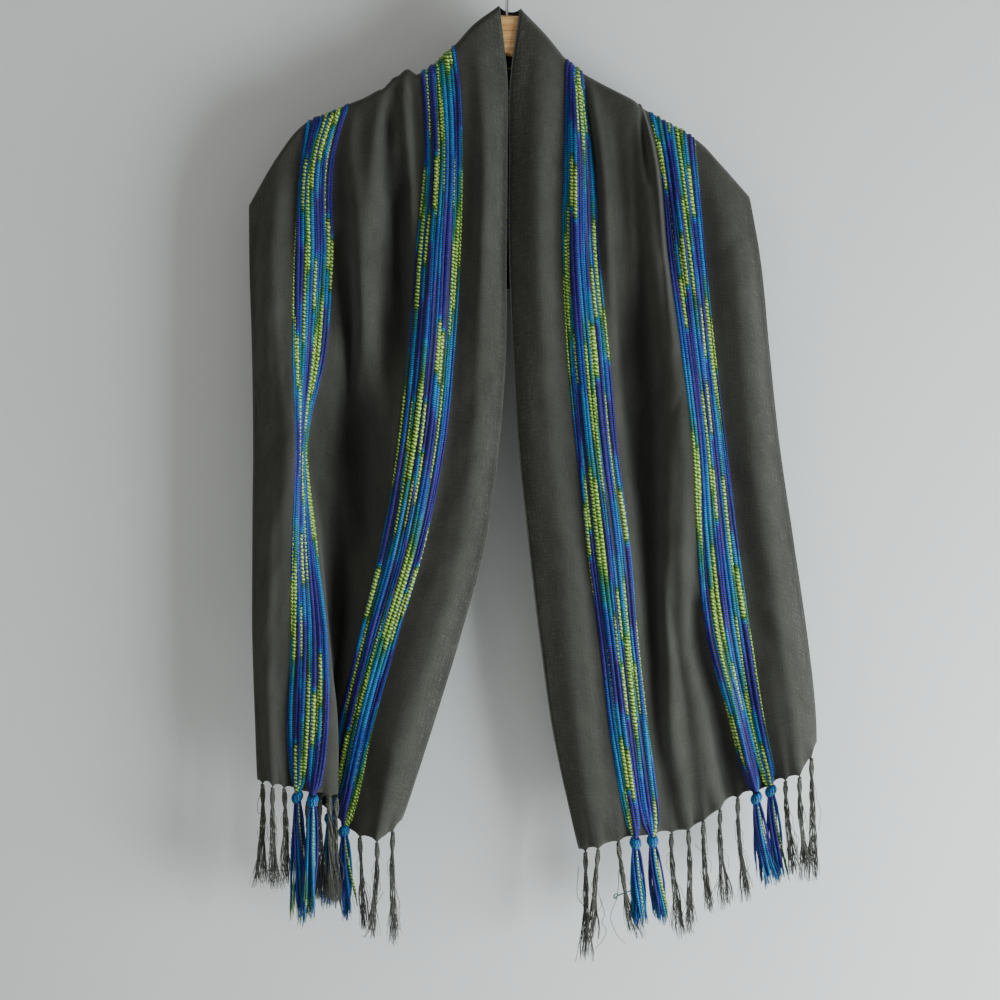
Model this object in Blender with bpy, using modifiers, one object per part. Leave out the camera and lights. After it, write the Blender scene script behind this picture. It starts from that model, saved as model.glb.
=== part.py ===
"""A fringed scarf draped over a clothes hanger, as on a pair of shoulders.

The origin is inside the top of the hanger's hook, where a rail or a peg carries it. +Z is up, the front of
the scarf faces -Y, and every size below is in millimetres until a point goes into a mesh.
"""

import math
from collections import namedtuple

import bmesh
import bpy
import numpy as np
from mathutils import Matrix, Vector

MM = 0.001

# The cloth: its flat width is gathered into one tassel for each cell
CLOTH_WIDTH = 370.0
CELLS = 15
CELL = CLOTH_WIDTH / CELLS
INNER_BAND = (3, 5)
OUTER_BAND = (10, 12)
GROUND_THICKNESS = 1.2
BAND_THICKNESS = 1.9
SEAM_GAP = 0.3
SCALLOP = 4.5

# How finely the cloth is divided: columns in each cell, rows down a front and rows across the back
COLUMNS_PER_CELL = 2
FRONT_ROWS = 19
BACK_ROWS = 13

# The cloth turns over the hanger's arms on this radius, in these steps from the crest
CREST_RADIUS = 8.6
CREST_ANGLES = (30.0, 60.0, 90.0)

# Heights at which a line of the cloth is given between its crest and its hem, the first of them that a line
# uses being at least this far below its crest
LEVELS = (-139, -216, -337, -436, -535, -645, -755, -843)
FIRST_DROP = 40

# A line runs the length of the cloth, so many cells from the selvedge at the wearer's neck. It starts at its
# crest (x, z), passes x at each of LEVELS and ends at its hem (x, z). Its depths, forwards negative, are
# those just below the crest, at each of LEVELS and at the hem.
Line = namedtuple("Line", "cells crest x hem depth")

LEFT_FRONT = (
    Line(
        0.0, (-9, -55), (0, 0, -1, -2, -9, -24, -53, -80), (-117, -958),
        (-9, -9, -10, -8, -8, -8, -10, -12, -12, -12),
    ),
    Line(
        1.5, (-36, -75), (-28, -23, -24, -27, -35, -53, -84, -111), (-142, -975),
        (-12, -20, -26, -24, -22, -22, -24, -26, -26, -24),
    ),
    Line(
        3.0, (-57, -98), (-52, -49, -52, -58, -67, -88, -120, -145), (-171, -966),
        (-12, -16, -18, -16, -14, -16, -18, -18, -15, -11),
    ),
    Line(
        4.0, (-76, -117), (-72, -70, -76, -82, -92, -111, -142, -165), (-188, -955),
        (-13, -17, -20, -22, -22, -22, -20, -16, -10, -2),
    ),
    Line(
        5.0, (-95, -129), (-92, -91, -101, -108, -119, -138, -165, -186), (-204, -944),
        (-12, -13, -12, -14, -16, -16, -12, -8, 0, 10),
    ),
    Line(
        6.25, (-113, -130), (-113, -114, -126, -136, -152, -166, -174, -200), (-222, -936),
        (-10, -10, -8, -3, 1, 4, 6, 2, 16, 8),
    ),
    Line(
        7.5, (-135, -144), (-137, -142, -155, -164, -184, -188, -186, -205), (-206, -931),
        (-14, -16, -24, -20, -8, 14, 16, 20, 0, -9),
    ),
    Line(
        8.75, (-156, -156), (-158, -166, -173, -179, -206, -203, -197, -186), (-185, -927),
        (-11, -12, -15, -12, -4, 10, 8, 2, -19, -21),
    ),
    Line(
        10.0, (-173, -163), (-176, -188, -193, -200, -221, -210, -196, -195), (-203, -924),
        (-10, -10, -12, -10, -6, -1, -10, -24, -30, -31),
    ),
    Line(
        11.0, (-197, -174), (-199, -209, -213, -218, -225, -223, -216, -217), (-221, -922),
        (-11, -12, -18, -16, -16, -18, -20, -26, -28, -26),
    ),
    Line(
        12.0, (-224, -186), (-225, -230, -234, -234, -230, -235, -237, -241), (-237, -918),
        (-10, -11, -14, -18, -24, -36, -28, -24, -22, -20),
    ),
    Line(
        13.5, (-255, -224), (-255, -258, -260, -257, -253, -257, -260, -260), (-256, -915),
        (-10, -11, -22, -24, -27, -32, -28, -26, -26, -24),
    ),
    Line(
        15.0, (-284, -274), (-284, -285, -283, -280, -278, -279, -279, -276), (-274, -911),
        (-6, -6, -8, -10, -12, -16, -16, -16, -16, -14),
    ),
)

RIGHT_FRONT = (
    Line(
        0.0, (15, -58), (4, 3, 3, 7, 13, 24, 37, 49), (80, -990),
        (-9, -9, -8, -8, -8, -8, -8, -8, -8, -8),
    ),
    Line(
        1.5, (42, -86), (36, 34, 34, 37, 44, 57, 69, 80), (100, -984),
        (-12, -20, -24, -22, -22, -20, -20, -20, -20, -18),
    ),
    Line(
        3.0, (65, -114), (63, 63, 62, 66, 75, 86, 101, 111), (133, -973),
        (-11, -13, -14, -14, -16, -16, -16, -14, -14, -14),
    ),
    Line(
        4.0, (74, -123), (75, 78, 80, 88, 97, 110, 122, 132), (149, -971),
        (-12, -14, -20, -20, -22, -22, -20, -18, -18, -16),
    ),
    Line(
        5.0, (83, -129), (84, 95, 102, 111, 120, 135, 145, 155), (171, -968),
        (-10, -10, -9, -10, -14, -14, -12, -12, -12, -12),
    ),
    Line(
        6.25, (106, -142), (107, 116, 124, 129, 138, 152, 163, 174), (195, -966),
        (-12, -13, -18, -14, 0, 2, 2, 0, -4, -6),
    ),
    Line(
        7.5, (137, -158), (137, 138, 147, 151, 158, 168, 182, 199), (216, -954),
        (-16, -18, -30, -26, -4, 2, 0, -8, -14, -12),
    ),
    Line(
        8.75, (147, -166), (149, 157, 168, 174, 183, 189, 201, 223), (239, -938),
        (-12, -14, -24, -22, -24, -24, -24, -26, -26, -20),
    ),
    Line(
        10.0, (156, -172), (157, 166, 179, 191, 202, 208, 220, 245), (265, -926),
        (-10, -10, -11, -14, -24, -26, -26, -22, -16, -12),
    ),
    Line(
        11.0, (180, -186), (181, 187, 200, 210, 221, 231, 245, 264), (283, -921),
        (-11, -12, -18, -18, -20, -20, -18, -14, -6, -6),
    ),
    Line(
        12.0, (208, -202), (208, 209, 219, 228, 240, 254, 270, 284), (298, -911),
        (-10, -10, -11, -12, -14, -14, -14, -14, -14, -12),
    ),
    Line(
        13.5, (236, -230), (237, 245, 251, 260, 271, 286, 300, 314), (320, -904),
        (-9, -10, -18, -22, -24, -24, -24, -24, -24, -22),
    ),
    Line(
        15.0, (267, -265), (268, 272, 279, 289, 299, 315, 331, 340), (341, -872),
        (-5, -5, -4, -8, -8, -10, -10, -10, -10, -10),
    ),
)

# Behind the neck each line hangs from crest to crest in a swag: its lowest height and its depth there
Swag = namedtuple("Swag", "cells low depth")
BACK = (
    Swag(0.0, -60, 9),
    Swag(1.5, -92, 13),
    Swag(3.0, -121, 11),
    Swag(4.0, -143, 17),
    Swag(5.0, -162, 12),
    Swag(6.25, -186, 20),
    Swag(7.5, -213, 13),
    Swag(8.75, -238, 21),
    Swag(10.0, -264, 14),
    Swag(11.0, -284, 20),
    Swag(12.0, -304, 15),
    Swag(13.5, -336, 22),
    Swag(15.0, -366, 13),
)

# Tassels: the radius of a knot and how many strands hang from it, and the lowest point of each tassel at
# both ends, counted outwards from the neck selvedge
PLAIN_KNOT = 0.16 * CELL
PLAIN_STRANDS = 6
BAND_KNOT = 0.2 * CELL
BAND_STRANDS = 8
LEFT_ENDS = (
    -1091, -1083, -1075, -1066, -1056, -1052, -1050, -1048, -1050, -1046, -1068, -1068, -1027, -1031, -1028,
)
RIGHT_ENDS = (
    -1112, -1090, -1085, -1074, -1068, -1085, -1079, -1057, -1052, -1046, -1030, -1024, -1013, -1021, -1021,
)

# A knot's height, and the radius of its top and its foot, in radii of the knot
KNOT_HEIGHT = 2.0
KNOT_TOP = 0.4
KNOT_FOOT = 0.86

# Strands: the space round a root, their steps, their turn from root to end, the least share of the tassel's
# length that they reach, their taper, how far the tassel sways, and how far they spread in radii of the knot
STRAND_INSET = 0.32
STRAND_STEPS = 3
TWIST = math.radians(105)
SHORTEST_STRAND = 0.88
TAPER = 0.2
SWAY = 2.0
SPREAD = (0.45, 0.75)

# The hanger: the top and the underside of an arm (reach from the middle, height), before the hanger's tilt
ARM_TOP = (
    (0, -65), (13, -65), (22, -70), (36, -82.5), (57, -105), (76, -125),
    (96, -137.7), (118, -147), (150, -163), (182, -180), (208, -193.5), (218, -199),
)
ARM_TIP = ((224, -205), (223, -212), (216, -216))
ARM_UNDER = ((150, -187), (100, -161), (62, -138), (32, -117), (0, -109))
ARM_THICKNESS = 12.0
ARM_ROUNDING = 5.6
TILT = math.radians(2.2)
NECK_HEIGHT = -65.0

# The hook: a wire bent round the peg, its shank let into the neck of the hanger
WIRE_DIAMETER = 3.5
HOOK_INSIDE = 38.0
HOOK_BEND = 15.0
HOOK_TIP_ANGLE = math.radians(205)
SHANK_DEPTH = 18.0

GREY = (0.045, 0.045, 0.040)
BLUE = (0.012, 0.10, 0.36)
WOOD = (0.62, 0.34, 0.13)
STEEL = (0.55, 0.55, 0.56)


def smooth(at, knots, values):
    """A cubic curve through the values, each of which may be a number or a point."""
    knots = np.asarray(knots, float)
    values = np.asarray(values, float)
    slopes = np.gradient(values, knots, axis=0)
    first = np.clip(np.searchsorted(knots, at, side="right") - 1, 0, len(knots) - 2)
    width = knots[first + 1] - knots[first]
    t = (np.asarray(at, float) - knots[first]) / width
    if values.ndim > 1:
        width, t = width[:, None], t[:, None]
    start = (1 + 2 * t) * (1 - t) ** 2 * values[first] + t * (1 - t) ** 2 * width * slopes[first]
    end = t**2 * (3 - 2 * t) * values[first + 1] + t**2 * (t - 1) * width * slopes[first + 1]
    return start + end


def columns():
    """Where the columns of faces meet, in cells from the neck selvedge."""
    return np.linspace(0, CELLS, CELLS * COLUMNS_PER_CELL + 1)


def crest_steps():
    """(drop, share of the depth) of the rows that turn over the arm, from the edge at the crest."""
    first = 0.5 * SEAM_GAP + 0.2
    turned = [math.radians(angle) for angle in CREST_ANGLES]
    start = (CREST_RADIUS - math.sqrt(CREST_RADIUS**2 - first**2), first / CREST_RADIUS)
    return [start] + [(CREST_RADIUS * (1 - math.cos(a)), math.sin(a)) for a in turned]


def front_line(line):
    """The points of one lengthwise line, from its crest to its hem."""
    top, bottom = line.crest[1], line.hem[1]
    used = [i for i, level in enumerate(LEVELS) if level < top - FIRST_DROP]
    heights = [top] + [LEVELS[i] for i in used] + [bottom]
    x = [line.crest[0]] + [line.x[i] for i in used] + [line.hem[0]]
    depth = [line.depth[0]] + [line.depth[i + 1] for i in used] + [line.depth[-1]]
    drops = [drop for drop, _ in crest_steps()]
    shares = [share for _, share in crest_steps()] + [1.0] * FRONT_ROWS
    z = [top - drop for drop in drops]
    z += list(np.linspace(z[-1], bottom, FRONT_ROWS + 1)[1:])
    down = -np.array(z)
    knots = -np.array(heights, float)
    return np.column_stack([smooth(down, knots, x), smooth(down, knots, depth) * shares, z])


def front_sheet(lines):
    """Rows of points from the crest over the arm down to the scalloped hem."""
    runs = np.array([front_line(line) for line in lines])
    cells = [line.cells for line in lines]
    sheet = np.array([smooth(columns(), cells, runs[:, row]) for row in range(runs.shape[1])])
    between = 0.5 + 0.5 * np.cos(2 * math.pi * columns())
    sheet[-1, :, 2] += SCALLOP * between
    return sheet


def swag_line(left, right, swag):
    """The points of one line behind the neck, from its left crest to its right one."""
    start, end = np.array(left.crest, float), np.array(right.crest, float)
    sag = 0.5 * (start[1] + end[1]) - swag.low
    length = np.linalg.norm(end - start) + 8 * sag**2 / (3 * np.linalg.norm(end - start))
    near = [drop / length for drop, _ in crest_steps()]
    share = [part for _, part in crest_steps()]
    middle = np.linspace(near[-1], 1 - near[-1], BACK_ROWS + 1)[1:-1]
    s = np.concatenate([near, middle, 1 - np.array(near[::-1])])
    turn = np.array(share + [1.0] * (BACK_ROWS - 1) + share[::-1])
    x = start[0] + (end[0] - start[0]) * s
    z = start[1] + (end[1] - start[1]) * s - 4 * sag * s * (1 - s)
    y = turn * (CREST_RADIUS + (swag.depth - CREST_RADIUS) * np.sin(math.pi * s))
    return np.column_stack([x, y, z])


def back_sheet():
    """Rows of points from the left crest, behind the neck, to the right crest."""
    runs = np.array([swag_line(*lines) for lines in zip(LEFT_FRONT, RIGHT_FRONT, BACK)])
    cells = [swag.cells for swag in BACK]
    return np.array([smooth(columns(), cells, runs[:, row]) for row in range(runs.shape[1])])


def material(name, colour, roughness, metallic=0.0):
    made = bpy.data.materials.new(name)
    made.use_nodes = True
    shader = made.node_tree.nodes["Principled BSDF"]
    shader.inputs["Base Color"].default_value = (*colour, 1.0)
    shader.inputs["Roughness"].default_value = roughness
    shader.inputs["Metallic"].default_value = metallic
    made.diffuse_color = (*colour, 1.0)
    return made


def add_object(name, data, collection, finish):
    made = bpy.data.objects.new(name, data)
    data.materials.append(finish)
    collection.objects.link(made)
    return made


def add_cloth(name, sheet, collection, finish, outward):
    """A wall round a sheet of points, thicker along its two bands of fancy yarn."""
    rows, across = sheet.shape[:2]
    bm = bmesh.new()
    bmesh.ops.create_grid(bm, x_segments=across - 1, y_segments=rows - 1, size=1)
    corners = sorted(bm.verts, key=lambda v: (round(-v.co.y, 4), round(v.co.x, 4)))
    for vertex, point in zip(corners, sheet.reshape(-1, 3)):
        vertex.co = Vector(point * MM)
    bm.normal_update()
    if sum(face.normal.dot(Vector(outward)) for face in bm.faces) < 0:
        bmesh.ops.reverse_faces(bm, faces=bm.faces)
    order = {vertex: i for i, vertex in enumerate(corners)}
    bm.verts.sort(key=lambda v: order[v])
    mesh = bpy.data.meshes.new(name)
    bm.to_mesh(mesh)
    bm.free()
    mesh.shade_smooth()
    cloth = add_object(name, mesh, collection, finish)
    thickness = cloth.vertex_groups.new(name="thickness")
    for i, cell in enumerate(np.tile(columns(), rows)):
        in_band = any(start <= cell <= end for start, end in (INNER_BAND, OUTER_BAND))
        thickness.add([i], 1.0 if in_band else GROUND_THICKNESS / BAND_THICKNESS, "REPLACE")
    wall = cloth.modifiers.new("wall", "SOLIDIFY")
    wall.thickness = BAND_THICKNESS * MM
    wall.offset = 0.0
    wall.vertex_group = "thickness"
    return cloth


def hem_point(sheet, cell, knot):
    """Where a tassel hangs: under the middle of its hem, as high as its tapered knot clears the hem."""
    near = np.linspace(cell - 0.5, cell + 0.5, 21)
    curve = np.column_stack([np.interp(near, columns(), sheet[-1, :, k]) for k in range(3)])
    middle = curve[len(near) // 2]
    away = np.linalg.norm(curve[:, :2] - middle[:2], axis=1)
    top = KNOT_TOP * knot
    taper = np.maximum(away - top, 0) * knot / (knot - top)
    return Vector((middle[0], middle[1], (curve[:, 2] + taper)[away < knot].min()))


def add_tassel(name, top, end_height, strands, knot, collection, finish, seed):
    """A knot under the hem with its strands hanging from it, twisted together and loose at their ends."""
    varied = np.random.default_rng(seed)
    height = KNOT_HEIGHT * knot
    bm = bmesh.new()
    strand_of, corner_of = bm.faces.layers.int.new("strand"), bm.verts.layers.int.new("corner")
    bmesh.ops.create_cone(
        bm, cap_ends=True, cap_tris=True, segments=strands, depth=height,
        radius1=KNOT_FOOT * knot, radius2=KNOT_TOP * knot,
    )
    whole = bm.verts[:] + bm.edges[:] + bm.faces[:]
    cut = bmesh.ops.bisect_plane(bm, geom=whole, plane_co=(0, 0, 0), plane_no=(0, 0, 1))["geom_cut"]
    for vertex in (part for part in cut if isinstance(part, bmesh.types.BMVert)):
        vertex.co.xy *= knot / vertex.co.xy.length
    roots = [face for face in bm.faces if face.normal.z < -0.9]
    bmesh.ops.inset_individual(bm, faces=roots, thickness=STRAND_INSET)
    lowest = top.z - SEAM_GAP - height - end_height
    sway = varied.uniform(-SWAY, SWAY, 2)
    lengths = lowest * varied.uniform(SHORTEST_STRAND, 1.0, len(roots))
    lengths[0] = lowest
    spread = knot * varied.uniform(*SPREAD)
    start = [(face.calc_center_median().copy(), [v.co.copy() for v in face.verts]) for face in roots]
    for i, face in enumerate(roots):
        face[strand_of] = i
        for k, vertex in enumerate(face.verts):
            vertex[corner_of] = k
    for step in range(1, STRAND_STEPS + 1):
        roots = bmesh.ops.extrude_discrete_faces(bm, faces=roots)["faces"]
        for face in roots:
            middle, corners = start[face[strand_of]]
            drop = lengths[face[strand_of]] * step / STRAND_STEPS
            t = drop / lowest
            turn = Matrix.Rotation(TWIST * t, 3, "Z")
            out = middle.xy.length + spread * t**3
            place = turn @ (Vector((*middle.xy, 0)).normalized() * out)
            place += Vector((*(sway * t**2), middle.z - drop))
            for vertex in face.verts:
                vertex.co = place + turn @ ((corners[vertex[corner_of]] - middle) * (1 - TAPER * t))
    bmesh.ops.recalc_face_normals(bm, faces=bm.faces)
    bmesh.ops.scale(bm, vec=(MM, MM, MM), verts=bm.verts)
    mesh = bpy.data.meshes.new(name)
    bm.to_mesh(mesh)
    bm.free()
    tassel = add_object(name, mesh, collection, finish)
    tassel.location = (top - Vector((0, 0, SEAM_GAP + 0.5 * height))) * MM
    return tassel


def add_fringe(side, sheet, ends, collection, plain, coloured):
    for i, end in enumerate(ends):
        cell = i + 0.5
        in_band = any(start < cell < stop for start, stop in (INNER_BAND, OUTER_BAND))
        strands, knot = (BAND_STRANDS, BAND_KNOT) if in_band else (PLAIN_STRANDS, PLAIN_KNOT)
        finish = coloured if in_band else plain
        top = hem_point(sheet, cell, knot)
        add_tassel(f"{side}_tassel_{i + 1:02d}", top, end, strands, knot, collection, finish, i)


def arm_outline():
    """The hanger's outline (x, z), both arms, with its tilt on the peg."""
    half = list(ARM_TOP) + list(ARM_TIP) + list(ARM_UNDER)
    other = [(-x, z) for x, z in reversed(half) if x > 0]
    swing = Matrix.Rotation(-TILT, 2)
    neck = Vector((0, NECK_HEIGHT))
    return [neck + swing @ (Vector(point) - neck) for point in half + other]


def add_hanger(collection, helpers, finish):
    """The wooden arms: a flat outline with well rounded edges and a bore for the hook's shank."""
    bm = bmesh.new()
    corners = [bm.verts.new((p.x * MM, -0.5 * ARM_THICKNESS * MM, p.y * MM)) for p in arm_outline()]
    face = bm.faces.new(corners)
    thick = bmesh.ops.extrude_face_region(bm, geom=[face])
    moved = [part for part in thick["geom"] if isinstance(part, bmesh.types.BMVert)]
    bmesh.ops.translate(bm, vec=(0, ARM_THICKNESS * MM, 0), verts=moved)
    bmesh.ops.recalc_face_normals(bm, faces=bm.faces)
    mesh = bpy.data.meshes.new("hanger_arms")
    bm.to_mesh(mesh)
    bm.free()
    arms = add_object("hanger_arms", mesh, collection, finish)
    rounding = arms.modifiers.new("rounding", "BEVEL")
    rounding.width = ARM_ROUNDING * MM
    rounding.segments = 3
    rounding.limit_method = "ANGLE"
    rounding.angle_limit = math.radians(60)
    bore_length = 2 * SHANK_DEPTH
    bpy.ops.mesh.primitive_cylinder_add(
        vertices=16, radius=(0.5 * WIRE_DIAMETER + SEAM_GAP) * MM, depth=bore_length * MM,
        location=(0, 0, NECK_HEIGHT * MM),
    )
    cutter = bpy.context.object
    cutter.name = "shank_bore"
    for owner in list(cutter.users_collection):
        owner.objects.unlink(cutter)
    helpers.objects.link(cutter)
    cutter.hide_render = True
    cutter.display_type = "WIRE"
    bore = arms.modifiers.new("bore", "BOOLEAN")
    bore.object = cutter
    bore.operation = "DIFFERENCE"
    return arms


def hook_path():
    """The wire's middle line: up the shank, out through a small bend and round the peg to the open tip."""
    radius = 0.5 * (HOOK_INSIDE + WIRE_DIAMETER)
    middle = -0.5 * HOOK_INSIDE
    shank_end = NECK_HEIGHT - SHANK_DEPTH + 2 * SEAM_GAP
    bend_angle = math.acos(HOOK_BEND / (radius + HOOK_BEND))
    bend_height = middle - (radius + HOOK_BEND) * math.sin(bend_angle)
    path = [(0, shank_end), (0, 0.5 * (shank_end + bend_height)), (0, bend_height)]
    for a in np.linspace(0, bend_angle, 6)[1:]:
        path.append((HOOK_BEND * (1 - math.cos(a)), bend_height + HOOK_BEND * math.sin(a)))
    for a in np.linspace(-bend_angle, HOOK_TIP_ANGLE, 22)[1:]:
        path.append((radius * math.cos(a), middle + radius * math.sin(a)))
    return path


def add_hook(collection, finish):
    curve = bpy.data.curves.new("hook", "CURVE")
    curve.dimensions = "3D"
    curve.bevel_depth = 0.5 * WIRE_DIAMETER * MM
    curve.bevel_resolution = 2
    curve.use_fill_caps = True
    path = hook_path()
    spline = curve.splines.new("POLY")
    spline.points.add(len(path) - 1)
    for point, (x, z) in zip(spline.points, path):
        point.co = (x * MM, 0, z * MM, 1)
    return add_object("hook", curve, collection, finish)


def main():
    for old in list(bpy.data.objects):
        bpy.data.objects.remove(old)
    scarf = bpy.data.collections.new("scarf_on_hanger")
    helpers = bpy.data.collections.new("cutters")
    bpy.context.scene.collection.children.link(scarf)
    bpy.context.scene.collection.children.link(helpers)
    ground = material("charcoal_weave", GREY, 0.85)
    fancy = material("slub_yarn", BLUE, 0.75)
    left, right, back = front_sheet(LEFT_FRONT), front_sheet(RIGHT_FRONT), back_sheet()
    add_cloth("left_front", left, scarf, ground, (0, -1, 0))
    add_cloth("right_front", right, scarf, ground, (0, -1, 0))
    add_cloth("back", back, scarf, ground, (0, 1, 0))
    add_fringe("left", left, LEFT_ENDS, scarf, ground, fancy)
    add_fringe("right", right, RIGHT_ENDS, scarf, ground, fancy)
    add_hanger(scarf, helpers, material("varnished_wood", WOOD, 0.35))
    add_hook(scarf, material("steel_wire", STEEL, 0.3, 1.0))


main()
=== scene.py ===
"""A fringed scarf draped over a wooden clothes hanger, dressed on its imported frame.

Sizes in the tables are in millimetres, in the frame's axes: +Z up, the front facing -Y, the origin inside the
top of the hook. The cloth is one sheet from the left hem, over the left arm, behind the neck and over the
right arm to the right hem. Its bands are real yarns that ride on it, and its fringe is knotted cords.
"""

import math
from collections import namedtuple

import bpy
import numpy as np
from bpy.props import FloatProperty, FloatVectorProperty, IntProperty, PointerProperty
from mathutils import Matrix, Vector


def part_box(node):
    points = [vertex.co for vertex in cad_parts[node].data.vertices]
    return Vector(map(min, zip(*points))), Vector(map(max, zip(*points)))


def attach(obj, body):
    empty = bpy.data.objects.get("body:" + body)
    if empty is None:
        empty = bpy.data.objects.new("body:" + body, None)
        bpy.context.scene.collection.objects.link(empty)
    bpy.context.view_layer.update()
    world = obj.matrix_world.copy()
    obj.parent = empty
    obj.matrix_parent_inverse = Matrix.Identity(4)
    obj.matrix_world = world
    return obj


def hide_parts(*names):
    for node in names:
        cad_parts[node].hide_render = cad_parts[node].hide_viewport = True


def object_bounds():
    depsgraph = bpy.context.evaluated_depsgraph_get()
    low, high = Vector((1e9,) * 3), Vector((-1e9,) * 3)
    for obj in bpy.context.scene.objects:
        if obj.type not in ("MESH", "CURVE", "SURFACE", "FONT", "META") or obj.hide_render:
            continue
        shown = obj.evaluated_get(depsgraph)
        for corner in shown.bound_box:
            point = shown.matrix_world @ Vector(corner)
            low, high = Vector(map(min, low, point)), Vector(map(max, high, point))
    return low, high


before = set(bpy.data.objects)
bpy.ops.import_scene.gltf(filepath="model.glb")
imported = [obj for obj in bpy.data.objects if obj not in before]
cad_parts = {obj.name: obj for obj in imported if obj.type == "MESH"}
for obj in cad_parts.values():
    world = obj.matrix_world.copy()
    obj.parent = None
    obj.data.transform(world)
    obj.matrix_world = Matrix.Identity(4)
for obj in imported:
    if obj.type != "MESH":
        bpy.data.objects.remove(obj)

CAD_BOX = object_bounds()

bl_info = {
    "name": "Fringed Scarf on a Hanger",
    "version": (1, 0, 0),
    "blender": (4, 5, 0),
    "location": "3D View > Sidebar > Scarf",
    "description": "Builds a draped scarf with space-dyed yarn bands and a knotted fringe",
    "category": "Object",
}

MM = 0.001

# The cloth's flat width is gathered into one tassel for each cell, counted from the neck selvedge, and each
# band takes up the cells from its first to the one before its second number
CLOTH_WIDTH = 370.0
CELLS = 15
CELL = CLOTH_WIDTH / CELLS
BANDS = {"inner": (3, 5), "outer": (10, 12)}

# How finely the cloth is divided, and how far apart its rows lie near the hem
COLUMNS_PER_CELL = 6
FRONT_ROWS = 188
BACK_ROWS = 92
CREST_STEPS = 6
ROW_SPACING = 4.6

# The cloth turns over the hanger's arms on this radius
CREST_RADIUS = 8.6

# Heights at which a line of the cloth is given, the first one that it uses being this far below its crest
LEVELS = (-139, -216, -337, -436, -535, -645, -755, -843)
FIRST_DROP = 40

# A line runs the length of the cloth, so many cells from the selvedge at the wearer's neck. It starts at its
# crest (x, z), passes x at each of LEVELS and ends at its hem (x, z). Its depths, forwards negative, are
# those just below the crest, at each of LEVELS and at the hem.
Line = namedtuple("Line", "cells crest x hem depth")

LEFT_FRONT = (
    Line(
        0.0, (-9, -55), (0, 0, -1, -2, -9, -24, -53, -80), (-117, -958),
        (-9, -9, -10, -8, -8, -8, -10, -12, -12, -12),
    ),
    Line(
        1.5, (-36, -75), (-28, -23, -24, -27, -35, -53, -84, -111), (-142, -975),
        (-12, -20, -26, -24, -22, -22, -24, -26, -26, -24),
    ),
    Line(
        3.0, (-57, -98), (-52, -49, -52, -58, -67, -88, -120, -145), (-171, -966),
        (-12, -16, -18, -16, -14, -16, -18, -18, -15, -11),
    ),
    Line(
        4.0, (-76, -117), (-72, -70, -76, -82, -92, -111, -142, -165), (-188, -955),
        (-13, -17, -20, -22, -22, -22, -20, -16, -10, -2),
    ),
    Line(
        5.0, (-95, -129), (-92, -91, -101, -108, -119, -138, -165, -186), (-204, -944),
        (-12, -13, -12, -14, -16, -16, -12, -8, 0, 10),
    ),
    Line(
        6.25, (-113, -130), (-113, -114, -126, -136, -152, -166, -174, -200), (-222, -936),
        (-10, -10, -8, -3, 1, 4, 6, 2, 16, 8),
    ),
    Line(
        7.5, (-135, -144), (-137, -142, -155, -164, -184, -188, -186, -205), (-206, -931),
        (-14, -16, -24, -20, -8, 14, 16, 20, 0, -9),
    ),
    Line(
        8.75, (-156, -156), (-158, -166, -173, -179, -206, -203, -197, -186), (-185, -927),
        (-11, -12, -15, -12, -4, 10, 8, 2, -19, -21),
    ),
    Line(
        10.0, (-173, -163), (-176, -188, -193, -200, -221, -210, -196, -195), (-203, -924),
        (-10, -10, -12, -10, -6, -1, -10, -24, -30, -31),
    ),
    Line(
        11.0, (-197, -174), (-199, -209, -213, -218, -225, -223, -216, -217), (-221, -922),
        (-11, -12, -18, -16, -16, -18, -20, -26, -28, -26),
    ),
    Line(
        12.0, (-224, -186), (-225, -230, -234, -234, -230, -235, -237, -241), (-237, -918),
        (-10, -11, -14, -18, -24, -36, -28, -24, -22, -20),
    ),
    Line(
        13.5, (-255, -224), (-255, -258, -260, -257, -253, -257, -260, -260), (-256, -915),
        (-10, -11, -22, -24, -27, -32, -28, -26, -26, -24),
    ),
    Line(
        15.0, (-284, -274), (-284, -285, -283, -280, -278, -279, -279, -276), (-274, -911),
        (-6, -6, -8, -10, -12, -16, -16, -16, -16, -14),
    ),
)

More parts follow.
